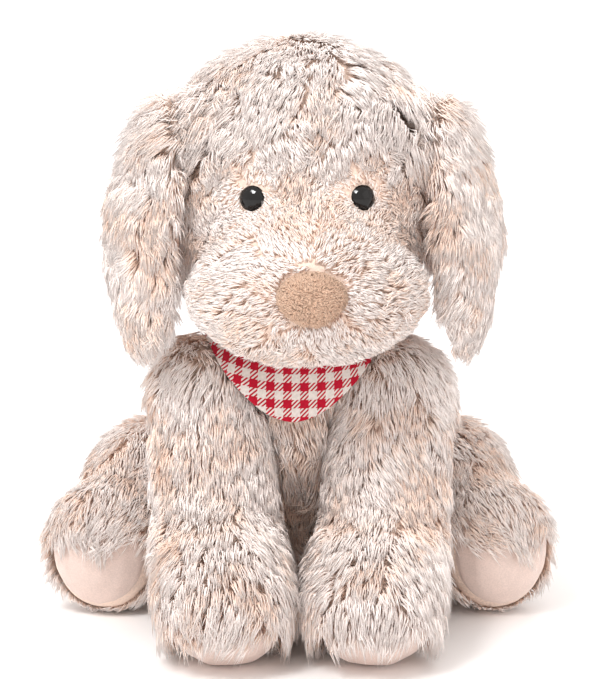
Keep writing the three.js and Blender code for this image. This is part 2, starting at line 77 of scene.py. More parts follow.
MM = 0.001
SIDES = {"left": 1, "right": -1}
UP = np.array((0.0, 0.0, 1.0))
HEIGHT = CAD_HIGH.z - CAD_LOW.z


def middle(node):
    low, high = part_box(node)
    return (low + high) / 2


def half_size(node):
    low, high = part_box(node)
    return (high - low) / 2


NOSE_MIDDLE = middle("nose_patch")
NOSE_HALF = half_size("nose_patch")
MUZZLE_MIDDLE = middle("muzzle_shell")
MUZZLE_HALF = half_size("muzzle_shell")
EYES = [
    Vector((middle(f"eye_{side}").x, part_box(f"eye_{side}")[0].y + 5.5 * MM, middle(f"eye_{side}").z))
    for side in SIDES
]
BAND_LOW, BAND_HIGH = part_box("bandana_band")
BAND_Z = (BAND_LOW.z + BAND_HIGH.z) / 2
BAND_MIDDLE_Y = (BAND_LOW.y + BAND_HIGH.y) / 2
FLAP_LOW, FLAP_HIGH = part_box("bandana_flap")


# ------ settings


def length_setting(name, description, default):
    return FloatProperty(
        name=name, description=description, default=default, subtype="DISTANCE", unit="LENGTH"
    )


def colour_setting(name, description, default):
    return FloatVectorProperty(
        name=name, description=description, default=(*default, 1), size=4, subtype="COLOR"
    )


class PileSettings(bpy.types.PropertyGroup):
    """Fur cloth of the whole puppy"""

    body_length: length_setting("Body pile", "Length of the fur on the body and legs", 14.5 * MM)
    head_length: length_setting(
        "Head pile", "Length of the fur on the crown, cheeks and back of the head", 13 * MM
    )
    face_length: length_setting("Face pile", "Length of the sheared fur round the eyes", 5 * MM)
    muzzle_length: length_setting("Muzzle pile", "Length of the fur on the muzzle", 9 * MM)
    strand_width: length_setting("Strand width", "Greatest width of one tuft of fibres", 0.6 * MM)
    root_colour: colour_setting(
        "Root colour", "Colour of the fur at its backing", (0.72, 0.47, 0.35)
    )
    middle_colour: colour_setting(
        "Middle colour", "Colour of the fur halfway up", (0.94, 0.76, 0.65)
    )
    tip_colour: colour_setting("Tip colour", "Colour of the fur tips", (0.995, 0.93, 0.90))


class VelourSettings(bpy.types.PropertyGroup):
    """Short pile cloths"""

    sole_colour: colour_setting("Sole colour", "Velour of the paw soles", (0.78, 0.635, 0.575))
    lining_colour: colour_setting("Lining colour", "Velour inside the ears", (0.70, 0.47, 0.36))
    nose_colour: colour_setting("Nose colour", "Velour of the nose", (0.84, 0.60, 0.45))
    nose_pile: length_setting("Nose pile", "Length of the nap on the nose", 2.1 * MM)


class NeckerchiefSettings(bpy.types.PropertyGroup):
    """Checked cotton neckerchief"""

    check_pitch: length_setting("Check pitch", "From one red stripe to the next", 6.9 * MM)
    yarn_pitch: length_setting("Twill pitch", "From one twill line to the next", 1.3 * MM)
    cloth_thickness: length_setting("Cloth thickness", "Thickness of the cotton", 0.5 * MM)
    red: colour_setting("Red", "Dyed yarn", (0.50, 0.006, 0.028))
    white: colour_setting("White", "Undyed yarn", (0.80, 0.74, 0.70))


class StageSettings(bpy.types.PropertyGroup):
    """Floor, camera and lights"""

    elevation: FloatProperty(
        name="Elevation", description="Camera height above the horizon", default=math.radians(12),
        subtype="ANGLE", unit="ROTATION",
    )
    distance: length_setting("Distance", "Camera to puppy", 1.1)
    lens: FloatProperty(name="Lens", description="Focal length in millimetres", default=138.9)
    floor_colour: colour_setting("Floor", "Colour of the floor", (0.96, 0.955, 0.955))


# ------ hand tools


def settings(group):
    return getattr(bpy.context.scene, group)


def deselect_all():
    for thing in list(bpy.context.selected_objects):
        thing.select_set(False)


def select_only(*things):
    deselect_all()
    for thing in things:
        thing.select_set(True)
    bpy.context.view_layer.objects.active = things[0]


def apply_modifier(thing, modifier):
    select_only(thing)
    bpy.ops.object.modifier_apply(modifier=modifier.name)


def apply_place(thing):
    select_only(thing)
    bpy.ops.object.transform_apply(location=True, rotation=True, scale=True)


def smooth(thing):
    select_only(thing)
    bpy.ops.object.shade_smooth()


def turn_faces_outward(thing):
    select_only(thing)
    bpy.ops.object.mode_set(mode="EDIT")
    bpy.ops.mesh.select_all(action="SELECT")
    bpy.ops.mesh.normals_make_consistent(inside=False)
    bpy.ops.object.mode_set(mode="OBJECT")


def settle(piece, body, nodes=()):
    """Tells the frame what a piece rides on and the nodes it stands for, which it hides."""
    if nodes:
        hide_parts(*nodes)
    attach(piece, body)


def points_of(mesh):
    flat = np.empty(len(mesh.vertices) * 3)
    mesh.vertices.foreach_get("co", flat)
    return flat.reshape(-1, 3)


def set_points(mesh, points):
    mesh.vertices.foreach_set("co", points.astype(np.float32).ravel())
    mesh.update()


def normals_of(mesh):
    flat = np.empty(len(mesh.vertices) * 3)
    mesh.vertex_normals.foreach_get("vector", flat)
    return flat.reshape(-1, 3)


def smooth_step(value, low, high):
    share = np.clip((value - low) / (high - low), 0, 1)
    return share * share * (3 - 2 * share)


def unit(vectors):
    return vectors / np.maximum(np.linalg.norm(vectors, axis=-1, keepdims=True), 1e-9)


def distance(points, place):
    return np.linalg.norm(points - np.array(place), axis=1)


def from_eyes(points):
    """How far each point is from the nearer eye."""
    return np.minimum(distance(points, EYES[0]), distance(points, EYES[1]))


def from_muzzle(points):
    """1 on the muzzle's oval, less inside it and more outside."""
    return np.linalg.norm((points - np.array(MUZZLE_MIDDLE)) / np.array(MUZZLE_HALF), axis=1)


def surface_of(node):
    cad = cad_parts[node]
    return BVHTree.FromPolygons(
        [v.co for v in cad.data.vertices], [tuple(p.vertices) for p in cad.data.polygons]
    )


def distance_to(surface, points, reach=25 * MM):
    """How far each point is from a surface, up to reach."""
    found = []
    for point in points:
        near = surface.find_nearest(Vector(point), reach)[3]
        found.append(reach if near is None else near)
    return np.array(found)


# ------ cloth bags

STUFFING_PRESSURE = 4.0
LAST_CLOTH_FRAME = 20


def copy_of_nodes(name, nodes):
    """One object holding merged copies of CAD nodes, which stay as they are."""
    copies = []
    for node in nodes:
        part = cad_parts[node].copy()
        part.data = part.data.copy()
        for key in list(part.keys()):
            del part[key]
        part.parent = None
        part.hide_render = part.hide_viewport = False
        bpy.context.scene.collection.objects.link(part)
        copies.append(part)
    select_only(*copies)
    if len(copies) > 1:
        bpy.ops.object.join()
    bag = bpy.context.view_layer.objects.active
    bag.name = bag.data.name = name
    bag.data.materials.clear()
    bpy.ops.object.mode_set(mode="EDIT")
    bpy.ops.mesh.select_all(action="SELECT")
    bpy.ops.mesh.remove_doubles(threshold=0.01 * MM)
    bpy.ops.object.mode_set(mode="OBJECT")
    return bag


def keep_outside(bag):
    """Drops the walls that the remesh leaves inside a stuffed bag."""
    select_only(bag)
    bpy.ops.object.mode_set(mode="EDIT")
    bpy.ops.mesh.select_all(action="SELECT")
    bpy.ops.mesh.separate(type="LOOSE")
    bpy.ops.object.mode_set(mode="OBJECT")
    islands = sorted(bpy.context.selected_objects, key=lambda o: o.dimensions.length)
    name = bag.name
    for inner in islands[:-1]:
        bpy.data.objects.remove(inner)
    islands[-1].name = islands[-1].data.name = name
    return islands[-1]


def sewn_bag(name, nodes, voxel, smoothing):
    bag = copy_of_nodes(name, nodes)
    remesh = bag.modifiers.new("Even cloth", "REMESH")
    remesh.mode = "VOXEL"
    remesh.voxel_size = voxel
    apply_modifier(bag, remesh)
    bag = keep_outside(bag)
    soften = bag.modifiers.new("Soften", "SMOOTH")
    soften.factor = 0.5
    soften.iterations = smoothing
    apply_modifier(bag, soften)
    return bag


def press_stuffing(bag, cap):
    """Lets the stuffing press the cloth outwards, by no more than cap anywhere."""
    rest = points_of(bag.data)
    trial = bag.copy()
    trial.data = bag.data.copy()
    bpy.context.scene.collection.objects.link(trial)
    cloth = trial.modifiers.new("Stuffing", "CLOTH")
    cloth.settings.use_pressure = True
    cloth.settings.uniform_pressure_force = STUFFING_PRESSURE
    cloth.settings.effector_weights.gravity = 0
    for step in range(1, LAST_CLOTH_FRAME + 1):
        bpy.context.scene.frame_set(step)
    pressed = trial.evaluated_get(bpy.context.evaluated_depsgraph_get())
    move = points_of(pressed.data) - rest
    bpy.data.objects.remove(trial)
    bpy.context.scene.frame_set(1)
    length = np.linalg.norm(move, axis=1, keepdims=True)
    set_points(bag.data, rest + move * np.minimum(1, cap / np.maximum(length, 1e-9)))


def round_off(bag):
    subdivide = bag.modifiers.new("Round", "SUBSURF")
    subdivide.levels = subdivide.render_levels = 1
    apply_modifier(bag, subdivide)
    smooth(bag)


# ------ how the fur lies

PILE_LIFT = math.radians(16)
TAIL_LIFT = math.radians(19)
PUFFED_LIFT = math.radians(14)
EAR_TOP_LIFT = math.radians(22)
EAR_TIP_LIFT = math.radians(15)
OVER_EAR_LIFT = math.radians(28)
OVER_EAR_LENGTH = 13 * MM
CREASE_Z = 60 * MM
CREASE_HALF = 5 * MM
LEG_SHARE = 0.95
EAR_SHARE = 0.92
TAIL_SHARE = 0.7


def head_coat(points, normals):
    """Which way the head's fur is combed, how long it is and how far it stands up."""
    pile = settings("puppy_pile")
    whorl = np.array((middle("head_shell").x, middle("head_shell").y + 6 * MM, HEIGHT - 24 * MM))
    flow = unit(points - whorl)
    flow[:, 2] -= 0.5
    length = np.full(len(points), pile.head_length)
    lift = np.full(len(points), PILE_LIFT)
    brow = (
        smooth_step(-points[:, 1], 30 * MM, 50 * MM)
        * (1 - smooth_step(points[:, 2], HEIGHT - 48 * MM, HEIGHT - 22 * MM))
    )
    length += (0.72 * pile.head_length - length) * brow
    for side in SIDES:
        ear_top = middle(f"ear_shell_{side}")
        ear_top.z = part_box(f"ear_shell_{side}")[1].z - 6 * MM
        ear_top.x -= SIDES[side] * 8 * MM
        over_ear = 1 - smooth_step(distance(points, ear_top), 13 * MM, 32 * MM)
        length += OVER_EAR_LENGTH * over_ear
        lift += OVER_EAR_LIFT * over_ear
    near_eye = 1 - smooth_step(from_eyes(points), 9 * MM, 24 * MM)
    length += (pile.face_length - length) * near_eye
    lift -= math.radians(3) * near_eye
    for place in EYES:
        share = (1 - smooth_step(distance(points, place), 8 * MM, 17 * MM))[:, None]
        away = unit(points - np.array(place))
        away[:, 2] -= 0.2
        flow = flow * (1 - share) + away * share
    muzzle = 1 - smooth_step(from_muzzle(points), 1.0, 1.22)
    from_nose = unit(points - np.array(NOSE_MIDDLE) - np.array((0, 10 * MM, 0)))
    flow = flow * (1 - muzzle[:, None]) + from_nose * muzzle[:, None]
    near_nose = 1 - smooth_step(distance(points, NOSE_MIDDLE), 12 * MM, 34 * MM)
    bridge = smooth_step(points[:, 2], MUZZLE_MIDDLE.z + 10 * MM, MUZZLE_MIDDLE.z + 24 * MM)
    muzzle_length = pile.muzzle_length * (1 - 0.35 * near_nose) * (1 - 0.35 * bridge)
    length += (muzzle_length - length) * muzzle
    lift += math.radians(6) * muzzle
    return flow, length, lift


def torso_coat(points, normals):
    flow = np.zeros_like(points)
    flow[:, 2] = -1
    flow[:, 1] = 0.35 * np.sign(normals[:, 1]) * (np.abs(normals[:, 1]) > 0.3)
    length = np.full(len(points), settings("puppy_pile").body_length)
    length *= 1 - 0.55 * smooth_step(points[:, 2], BAND_LOW.z - 12 * MM, BAND_LOW.z)
    length *= 1 - 0.5 * (1 - smooth_step(points[:, 2], 2 * MM, 16 * MM))
    return flow, length, np.full(len(points), PILE_LIFT)


def front_leg_coat(side):
    low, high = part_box(f"front_leg_shell_{side}")
    paw = np.array(((low.x + high.x) / 2 - 2 * MM * SIDES[side], low.y + 44 * MM, 66 * MM))

    def coat(points, normals):
        flow = np.zeros_like(points)
        flow[:, 0] = 0.12 * SIDES[side]
        flow[:, 1] = -0.25
        flow[:, 2] = -1
        share = (1 - smooth_step(points[:, 2], 46 * MM, 66 * MM))[:, None]
        flow = flow * (1 - share) + unit(points - paw) * share
        flow[:, 2] -= 0.15 * share[:, 0]
        crease = np.exp(-(((points[:, 2] - CREASE_Z) / CREASE_HALF) ** 2))
        length = LEG_SHARE + 0.1 * share[:, 0] - 0.35 * crease
        length = settings("puppy_pile").body_length * length
        return flow, length, PILE_LIFT + PUFFED_LIFT * share[:, 0]

    return coat


def hind_leg_coat(side):
    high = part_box(f"hind_leg_shell_{side}")[1]
    hip = np.array((SIDES[side] * 40 * MM, high.y - 8 * MM, high.z - 4 * MM))

    def coat(points, normals):
        flow = unit(points - hip)
        flow[:, 1] -= 0.35
        flow[:, 2] -= 0.35
        length = np.full(len(points), settings("puppy_pile").body_length * LEG_SHARE)
        length *= 1 - 0.55 * (1 - smooth_step(points[:, 2], 4 * MM, 18 * MM))
        return flow, length, np.full(len(points), PILE_LIFT)

    return coat


def ear_coat(side):
    low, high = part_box(f"ear_shell_{side}")

    def coat(points, normals):
        flow = np.zeros_like(points)
        flow[:, 0] = 0.18 * SIDES[side]
        flow[:, 1] = -0.05
        flow[:, 2] = -1
        rim = smooth_step(-points[:, 1], -(low.y + 12 * MM), -low.y)
        flow[:, 0] -= 0.55 * SIDES[side] * rim
        flow[:, 0] += 0.8 * SIDES[side] * smooth_step(points[:, 2], high.z - 22 * MM, high.z - 6 * MM)
        top = smooth_step(points[:, 2], high.z - 22 * MM, high.z - 6 * MM)
        bottom = 1 - smooth_step(points[:, 2], low.z + 6 * MM, low.z + 40 * MM)
        length = settings("puppy_pile").body_length * (EAR_SHARE + 0.3 * top)
        return flow, length, PILE_LIFT + EAR_TOP_LIFT * top + EAR_TIP_LIFT * bottom

    return coat


def tail_coat(points, normals):
    flow = np.zeros_like(points)
    flow[:, 1] = 0.8
    flow[:, 2] = 0.55
    length = np.full(len(points), settings("puppy_pile").body_length * TAIL_SHARE)
    return flow, length, np.full(len(points), TAIL_LIFT)


# ------ strands

STRANDS_PER_WISP = 10
WISPS_PER_LOCK = 24
HIDDEN_ROOT = 0.6 * MM
FLOOR_CLEARANCE = 0.5 * MM
BEND_AT = 0.5
SHEET_GAP = 1.2 * MM
MUZZLE_SHARE = 1.1
# painted light: the muzzle fur is tinted paler where it juts out into the lamps
MUZZLE_PAINTED_LIGHT = 0.5
CROWN_DEPTH = 42 * MM
# painted light: the crown fur is tinted paler where the lamps above fall on it
CROWN_PAINTED_LIGHT = 1.5
# painted shade: the chest fur is tinted darker and more tan where it is turned away from the lamps
CHEST_PAINTED_SHADE = 3.0
NECK_FUR_TOP = BAND_HIGH.z + 32 * MM
NECK_OPENING = 30 * MM
BARE_NEAR_SOLE = 2.6 * MM


class Skin:
    """The triangles of a bag, from which roots are drawn evenly."""

    def __init__(self, bag, bare):
        mesh = bag.data
        mesh.calc_loop_triangles()
        corners = np.empty(len(mesh.loop_triangles) * 3, np.int32)
        mesh.loop_triangles.foreach_get("vertices", corners)
        self.corners = corners.reshape(-1, 3)
        self.points = points_of(mesh)
        self.normals = normals_of(mesh)
        a, b, c = (self.points[self.corners[:, k]] for k in range(3))
        self.area = np.linalg.norm(np.cross(b - a, c - a), axis=1) / 2
        self.area *= 1 - bare[self.corners].max(axis=1)

    def draw(self, count, chance):
        """count roots with their normals."""
        reach = np.cumsum(self.area)
        steps = (np.arange(count) + chance.random(count)) / count * reach[-1]
        chosen = self.corners[np.minimum(np.searchsorted(reach, steps), len(reach) - 1)]
        u, v = chance.random(count), chance.random(count)
        over = u + v > 1
        u[over], v[over] = 1 - u[over], 1 - v[over]
        shares = np.stack((1 - u - v, u, v), axis=1)[:, :, None]
        roots = (self.points[chosen] * shares).sum(axis=1)
        return roots, unit((self.normals[chosen] * shares).sum(axis=1))


def nearest(points, centres):
    tree = KDTree(len(centres))
    for number, centre in enumerate(centres):
        tree.insert(centre, number)
    tree.balance()
    return np.array([tree.find(point)[1] for point in points])


def lay(roots, normals, flow, length, lift):
    """The middle and the tip of strands that rise from their roots and bend over along the flow."""
    along = unit(flow - (flow * normals).sum(axis=1, keepdims=True) * normals)
    rise, fall = lift * 1.6, lift * 0.25
    first = along * np.cos(rise)[:, None] + normals * np.sin(rise)[:, None]
    second = along * np.cos(fall)[:, None] + normals * np.sin(fall)[:, None]
    bend = roots + first * (length * BEND_AT)[:, None]
    return bend, bend + second * (length * (1 - BEND_AT))[:, None]


def comb(skin, coat, count, chance, mess=1.0):
    """Roots, bends and tips of count strands, gathered into wisps and the wisps into locks."""
    wisp_count = max(4, count // STRANDS_PER_WISP)
    lock_count = max(2, wisp_count // WISPS_PER_LOCK)
    lock_root, lock_normal = skin.draw(lock_count, chance)
    flow, length, lift = coat(lock_root, lock_normal)
    flow = unit(flow) + chance.normal(0, 0.42 * mess, (lock_count, 3))
    lock_length = length * chance.uniform(0.9, 1.12, lock_count)
    lock_lift = lift + chance.normal(0, math.radians(4) * mess, lock_count)
    lock_bend, lock_tip = lay(lock_root, lock_normal, flow, lock_length, lock_lift)
    lock_turn = flow

    root, normal = skin.draw(wisp_count, chance)
    owner = nearest(root, lock_root)
    flow, length, lift = coat(root, normal)
    flow = unit(flow) * 0.45 + lock_turn[owner] * 0.55 + chance.normal(0, 0.14 * mess, (wisp_count, 3))
    length = length * chance.uniform(0.8, 1.1, wisp_count)
    lift = lift * 0.3 + lock_lift[owner] * 0.7 + chance.normal(0, math.radians(2), wisp_count)
    bend, tip = lay(root, normal, flow, length, lift)
    gather = chance.uniform(0.1, 0.35, wisp_count)[:, None]
    wisp_tip = tip * (1 - gather) + lock_tip[owner] * gather
    wisp_bend = bend * (1 - gather * 0.35) + lock_bend[owner] * gather * 0.35
    wisp_root, wisp_flow, wisp_length, wisp_lift = root, flow, length, lift
    wisp_tint = chance.normal(0, 1, lock_count)[owner] * 0.6 + chance.normal(0, 0.5, wisp_count)

    root, normal = skin.draw(count, chance)
    owner = nearest(root, wisp_root)
    flow = wisp_flow[owner] + chance.normal(0, 0.10, (count, 3))
    full = chance.uniform(0.62, 1.06, count)
    bend, tip = lay(root, normal, flow, wisp_length[owner] * full, wisp_lift[owner])
    gather = chance.uniform(0.05, 0.4, count)[:, None]
    pulled = wisp_root[owner] + (wisp_tip - wisp_root)[owner] * full[:, None]
    tip = tip * (1 - gather) + pulled * gather
    bend = bend * (1 - gather * 0.4) + wisp_bend[owner] * gather * 0.4
    bend += chance.normal(0, 0.25 * MM, (count, 3))
    return root - normal * HIDDEN_ROOT, bend, tip, wisp_tint[owner]


def strand_mesh(name, root, bend, tip, tint, width):
    """Closed spindles of six faces: a root, a ring of three at the bend, and a tip."""
    count = len(root)
    axis = unit(tip - root)
    side = unit(np.cross(axis, UP + 0.31 * axis[:, ::-1]))
    other = np.cross(axis, side)
    points = np.empty((count, 5, 3))
    points[:, 0] = root
    for corner in range(3):
        turn = corner * math.tau / 3
        points[:, 1 + corner] = bend + (side * math.cos(turn) + other * math.sin(turn)) * width / 2
    points[:, 4] = tip
    points[:, :, 2] = np.maximum(points[:, :, 2], FLOOR_CLEARANCE)
    pattern = []
    for corner in range(3):
        here, after = 1 + corner, 1 + (corner + 1) % 3
        pattern += [0, after, here, 4, here, after]
    faces = (np.arange(count)[:, None] * 5 + np.array(pattern)[None, :]).ravel()
    mesh = bpy.data.meshes.new(name)
    mesh.vertices.add(count * 5)
    mesh.vertices.foreach_set("co", points.astype(np.float32).ravel())
    mesh.loops.add(len(faces))
    mesh.loops.foreach_set("vertex_index", faces.astype(np.int32))
    mesh.polygons.add(len(faces) // 3)
    mesh.polygons.foreach_set("loop_start", np.arange(0, len(faces), 3, dtype=np.int32))
    mesh.update(calc_edges=True)
    rise = mesh.attributes.new("rise", "FLOAT", "POINT")
    rise.data.foreach_set("value", np.tile((0, 0.5, 0.5, 0.5, 1), count).astype(np.float32))
    # Each strand's shade: a random tone, with painted light on the muzzle and crown fur and painted
    # shade on the chest fur.
    shade = mesh.attributes.new("shade", "FLOAT", "POINT")
    shade.data.foreach_set("value", np.repeat(tint, 5).astype(np.float32))
    thing = bpy.data.objects.new(name, mesh)
    bpy.context.scene.collection.objects.link(thing)
    return thing


def grow(name, body, strands, chosen=slice(None), slot="cream_fur", finish=None, width=None):
    """One piece of pile from the chosen strands."""
    width = width or settings("puppy_pile").strand_width
    pile = strand_mesh(name, *(part[chosen] for part in strands), width)
    pile.data.materials.append(finish or fur_finish())
    settle(pile, body)


def clear_of_eyes_and_nose(strands):
    """Strands that don't cross an eye or the nose."""
    root, bend, tip = strands[:3]
    keep = np.ones(len(root), bool)
    for place in EYES:
        for point, room in ((root, 4.9), (bend, 5.9), (tip, 5.9)):
            keep &= distance(point, place) > room * MM
    for point, share in ((root, 0.80), (bend, 0.84), (tip, 0.82)):
        upward = (point[:, 2] - NOSE_MIDDLE.z) / NOSE_HALF.z
        across = (point[:, 0] - NOSE_MIDDLE.x) / NOSE_HALF.x / (0.9 + 0.12 * np.clip(upward, -1, 1))
        front = point[:, 1] < NOSE_MIDDLE.y + NOSE_HALF.y + 4 * MM
        keep &= ~(front & (np.abs(across) ** 2.5 + np.abs(upward) ** 2.5 < share**2.5))
    return keep


def tuck_under_neckerchief(strands):
    """Presses fur that lies under the neckerchief flat behind the cloth."""
    root, bend, tip = strands[:3]
    for point in (bend, tip):
        across, upward = point[:, 0], point[:, 2]
        under = (upward > hem_height(across) - 0.5 * MM) & (upward < BAND_HIGH.z + 2 * MM)
        under &= (np.abs(across) < KERCHIEF_HALF) & (point[:, 1] < BAND_MIDDLE_Y)
        behind = kerchief_y(across, upward) + SHEET_GAP
        point[:, 1] = np.where(under, np.maximum(point[:, 1], behind), point[:, 1])
        ring = (upward > BAND_LOW.z - 2 * MM) & (upward < BAND_HIGH.z + 2 * MM)
        ring &= np.linalg.norm(point[:, :2] - root[:, :2], axis=1) < 20 * MM
        half = BAND_HIGH.x - 4.6 * MM
        reach = np.hypot(across, point[:, 1] - BAND_MIDDLE_Y)
        scale = np.where(ring & (reach > half), half / np.maximum(reach, 1e-9), 1)
        point[:, 0] = across * scale
        point[:, 1] = BAND_MIDDLE_Y + (point[:, 1] - BAND_MIDDLE_Y) * scale


# ------ neckerchief shape

KERCHIEF_HALF = 40 * MM
HEM_POWER = 1.8
RIPPLES = ((0.7 * MM, 8.5 * MM, 0.6), (0.35 * MM, 3.9 * MM, 2.1))
KERCHIEF_TOP = BAND_HIGH.z + 0.5 * MM
TIP_X = -2.5 * MM
ROW_SAG = 8 * MM


def hem_height(across):
    """Height of the neckerchief's lower edge."""
    share = np.clip(np.abs(across - TIP_X) / KERCHIEF_HALF, 0, 1.04)
    return FLAP_LOW.z + (KERCHIEF_TOP - FLAP_LOW.z) * share**HEM_POWER


def kerchief_y(across, upward):
    """How far forward the neckerchief hangs."""
    drop = np.maximum(FLAP_HIGH.z - upward, 0)
    curve = np.interp(
        upward,
        np.array((90, 110, 116, 121, 127)) * MM,
        np.array((0.3, 0.5, 3.0, 8.5, 14.2)),
    )
    return BAND_LOW.y - 0.5 * MM - 0.36 * drop + curve * across**2


# ------ shader groups and finishes


def new_group(name, inputs, outputs):
    """An empty node group with named sockets."""
    tree = bpy.data.node_groups.new(name, "ShaderNodeTree")
    for label, kind, value in inputs:
        socket = tree.interface.new_socket(name=label, in_out="INPUT", socket_type=f"NodeSocket{kind}")
        if value is not None:
            socket.default_value = value
    for label, kind in outputs:
        tree.interface.new_socket(name=label, in_out="OUTPUT", socket_type=f"NodeSocket{kind}")
    start = tree.nodes.new("NodeGroupInput")
    end = tree.nodes.new("NodeGroupOutput")
    start.location.x, end.location.x = -900, 600
    return tree, start, end


def math_node(tree, operation, first, second=None, clamp=False):
    node = tree.nodes.new("ShaderNodeMath")
    node.operation = operation
    node.use_clamp = clamp
    for number, value in enumerate((first, second)):
        if value is None:
            continue
        if isinstance(value, (int, float)):
            node.inputs[number].default_value = value
        else:
            tree.links.new(value, node.inputs[number])
    return node.outputs[0]


def mix_colour(tree, share, first, second, blend="MIX"):
    node = tree.nodes.new("ShaderNodeMix")
    node.data_type = "RGBA"
    node.blend_type = blend
    for socket, value in ((node.inputs[0], share), (node.inputs[6], first), (node.inputs[7], second)):
        if isinstance(value, (int, float, tuple)):
            socket.default_value = value
        else:
            tree.links.new(value, socket)
    return node.outputs[2]


def ranged(tree, value, from_low, from_high, to_low=0.0, to_high=1.0):
    node = tree.nodes.new("ShaderNodeMapRange")
    node.interpolation_type = "SMOOTHSTEP"
    for number, amount in enumerate((from_low, from_high, to_low, to_high), 1):
        node.inputs[number].default_value = amount
    tree.links.new(value, node.inputs[0])
    return node.outputs[0]


def noise(tree, vector, scale, detail=2.0, roughness=0.5):
    node = tree.nodes.new("ShaderNodeTexNoise")
    node.inputs["Scale"].default_value = scale
    node.inputs["Detail"].default_value = detail
    node.inputs["Roughness"].default_value = roughness
    tree.links.new(vector, node.inputs["Vector"])
    return node.outputs["Fac"]


def object_place(tree):
    return tree.nodes.new("ShaderNodeTexCoord").outputs["Object"]


def pile_tint_group():
    """Colour of a strand from its root to its tip, with tan patches where the fur parts."""
    tree, start, end = new_group(
        "Pile Tint",
        (
            ("Rise", "Float", 1.0),
            ("Shade", "Float", 0.0),
            ("Patches", "Float", 0.25),
            ("Root", "Color", None),
            ("Middle", "Color", None),
            ("Tip", "Color", None),
        ),
        (("Colour", "Color"),),
    )
    place = object_place(tree)
    broad = ranged(tree, noise(tree, place, 45.0, 2.0), 0.35, 0.7, -1.0, 1.0)
    shift = math_node(tree, "MULTIPLY", broad, start.outputs["Patches"])
    # The strand's shade moves its colour towards the root or the tip; it holds a random tone as well as
    # painted light and shade.
    own = math_node(tree, "MULTIPLY", start.outputs["Shade"], 0.07)
    rise = math_node(tree, "SUBTRACT", math_node(tree, "ADD", start.outputs["Rise"], own), shift)
    lower = mix_colour(
        tree, ranged(tree, rise, -0.1, 0.4), start.outputs["Root"], start.outputs["Middle"]
    )
    colour = mix_colour(tree, ranged(tree, rise, 0.25, 0.8), lower, start.outputs["Tip"])
    tree.links.new(colour, end.inputs["Colour"])
    return tree


def velour_group():
    """Nap of a short pile cloth: brushed patches and fine fibres."""
    tree, start, end = new_group(
        "Velour Nap",
        (("Light", "Color", None), ("Dark", "Color", None), ("Fibre", "Float", 1500.0)),
        (("Colour", "Color"), ("Height", "Float"), ("Roughness", "Float")),
    )
    place = object_place(tree)
    brushed = noise(tree, place, 60.0, 3.0, 0.6)
    fibres = tree.nodes.new("ShaderNodeTexNoise")
    fibres.inputs["Detail"].default_value = 3.0
    tree.links.new(place, fibres.inputs["Vector"])
    tree.links.new(start.outputs["Fibre"], fibres.inputs["Scale"])
    both = math_node(tree, "ADD", math_node(tree, "MULTIPLY", brushed, 0.5),
                     math_node(tree, "MULTIPLY", fibres.outputs["Fac"], 0.5))
    share = ranged(tree, both, 0.38, 0.62)
    tree.links.new(
        mix_colour(tree, share, start.outputs["Dark"], start.outputs["Light"]), end.inputs["Colour"]
    )
    tree.links.new(both, end.inputs["Height"])
    tree.links.new(ranged(tree, both, 0.3, 0.7, 0.8, 0.98), end.inputs["Roughness"])
    return tree


def gingham_group():
    """Two crossing sets of stripes in a twill: solid, half-tone and plain squares."""
    tree, start, end = new_group(
        "Gingham Twill",
        (
            ("Vector", "Vector", None),
            ("Checks", "Float", 145.0),
            ("Twill", "Float", 1280.0),
            ("Dyed", "Color", None),
            ("Plain", "Color", None),
        ),
        (("Colour", "Color"), ("Height", "Float")),
    )
    split = tree.nodes.new("ShaderNodeSeparateXYZ")
    tree.links.new(start.outputs["Vector"], split.inputs[0])
    stripes = []
    for axis in (0, 1):
        turns = math_node(tree, "MULTIPLY", split.outputs[axis], start.outputs["Checks"])
        wave = math_node(tree, "SINE", math_node(tree, "MULTIPLY", turns, math.tau))
        stripes.append(ranged(tree, wave, -0.08, 0.08))
    diagonal = math_node(tree, "ADD", split.outputs[0], split.outputs[1])
    twill = math_node(tree, "MULTIPLY", diagonal, start.outputs["Twill"])
    lines = math_node(tree, "SINE", math_node(tree, "MULTIPLY", twill, math.tau))
    over = ranged(tree, lines, -0.45, 0.45)
    under = math_node(tree, "SUBTRACT", 1.0, over)
    dyed = math_node(
        tree, "ADD",
        math_node(tree, "MULTIPLY", stripes[0], over),
        math_node(tree, "MULTIPLY", stripes[1], under),
    )
    uneven = ranged(tree, noise(tree, object_place(tree), 900.0, 2.0), 0.3, 0.7, 0.86, 1.0)
    colour = mix_colour(tree, dyed, start.outputs["Plain"], start.outputs["Dyed"])
    bright = tree.nodes.new("ShaderNodeHueSaturation")
    tree.links.new(colour, bright.inputs["Color"])
    tree.links.new(uneven, bright.inputs["Value"])
    tree.links.new(bright.outputs["Color"], end.inputs["Colour"])
    tree.links.new(over, end.inputs["Height"])
    return tree


def group_named(name):
    makers = {
        "Pile Tint": pile_tint_group, "Velour Nap": velour_group, "Gingham Twill": gingham_group
    }
    return bpy.data.node_groups.get(name) or makers[name]()


FINISHES = {}
DIAGONAL = 0.707
PATCHES = 0.2


def new_finish(name, **constants):
    """A material with its Principled shader, whose unchanging values are set on the shader."""
    finish = FINISHES[name] = bpy.data.materials.new(name)
    finish.use_nodes = True
    shader = finish.node_tree.nodes["Principled BSDF"]
    for label, value in constants.items():
        shader.inputs[label.replace("_", " ")].default_value = value
    return finish, finish.node_tree, shader


def place_group(tree, name, **values):
    node = tree.nodes.new("ShaderNodeGroup")
    node.node_tree = group_named(name)
    for label, value in values.items():
        if isinstance(value, bpy.types.NodeSocket):
            tree.links.new(value, node.inputs[label])
        else:
            node.inputs[label].default_value = value
    return node


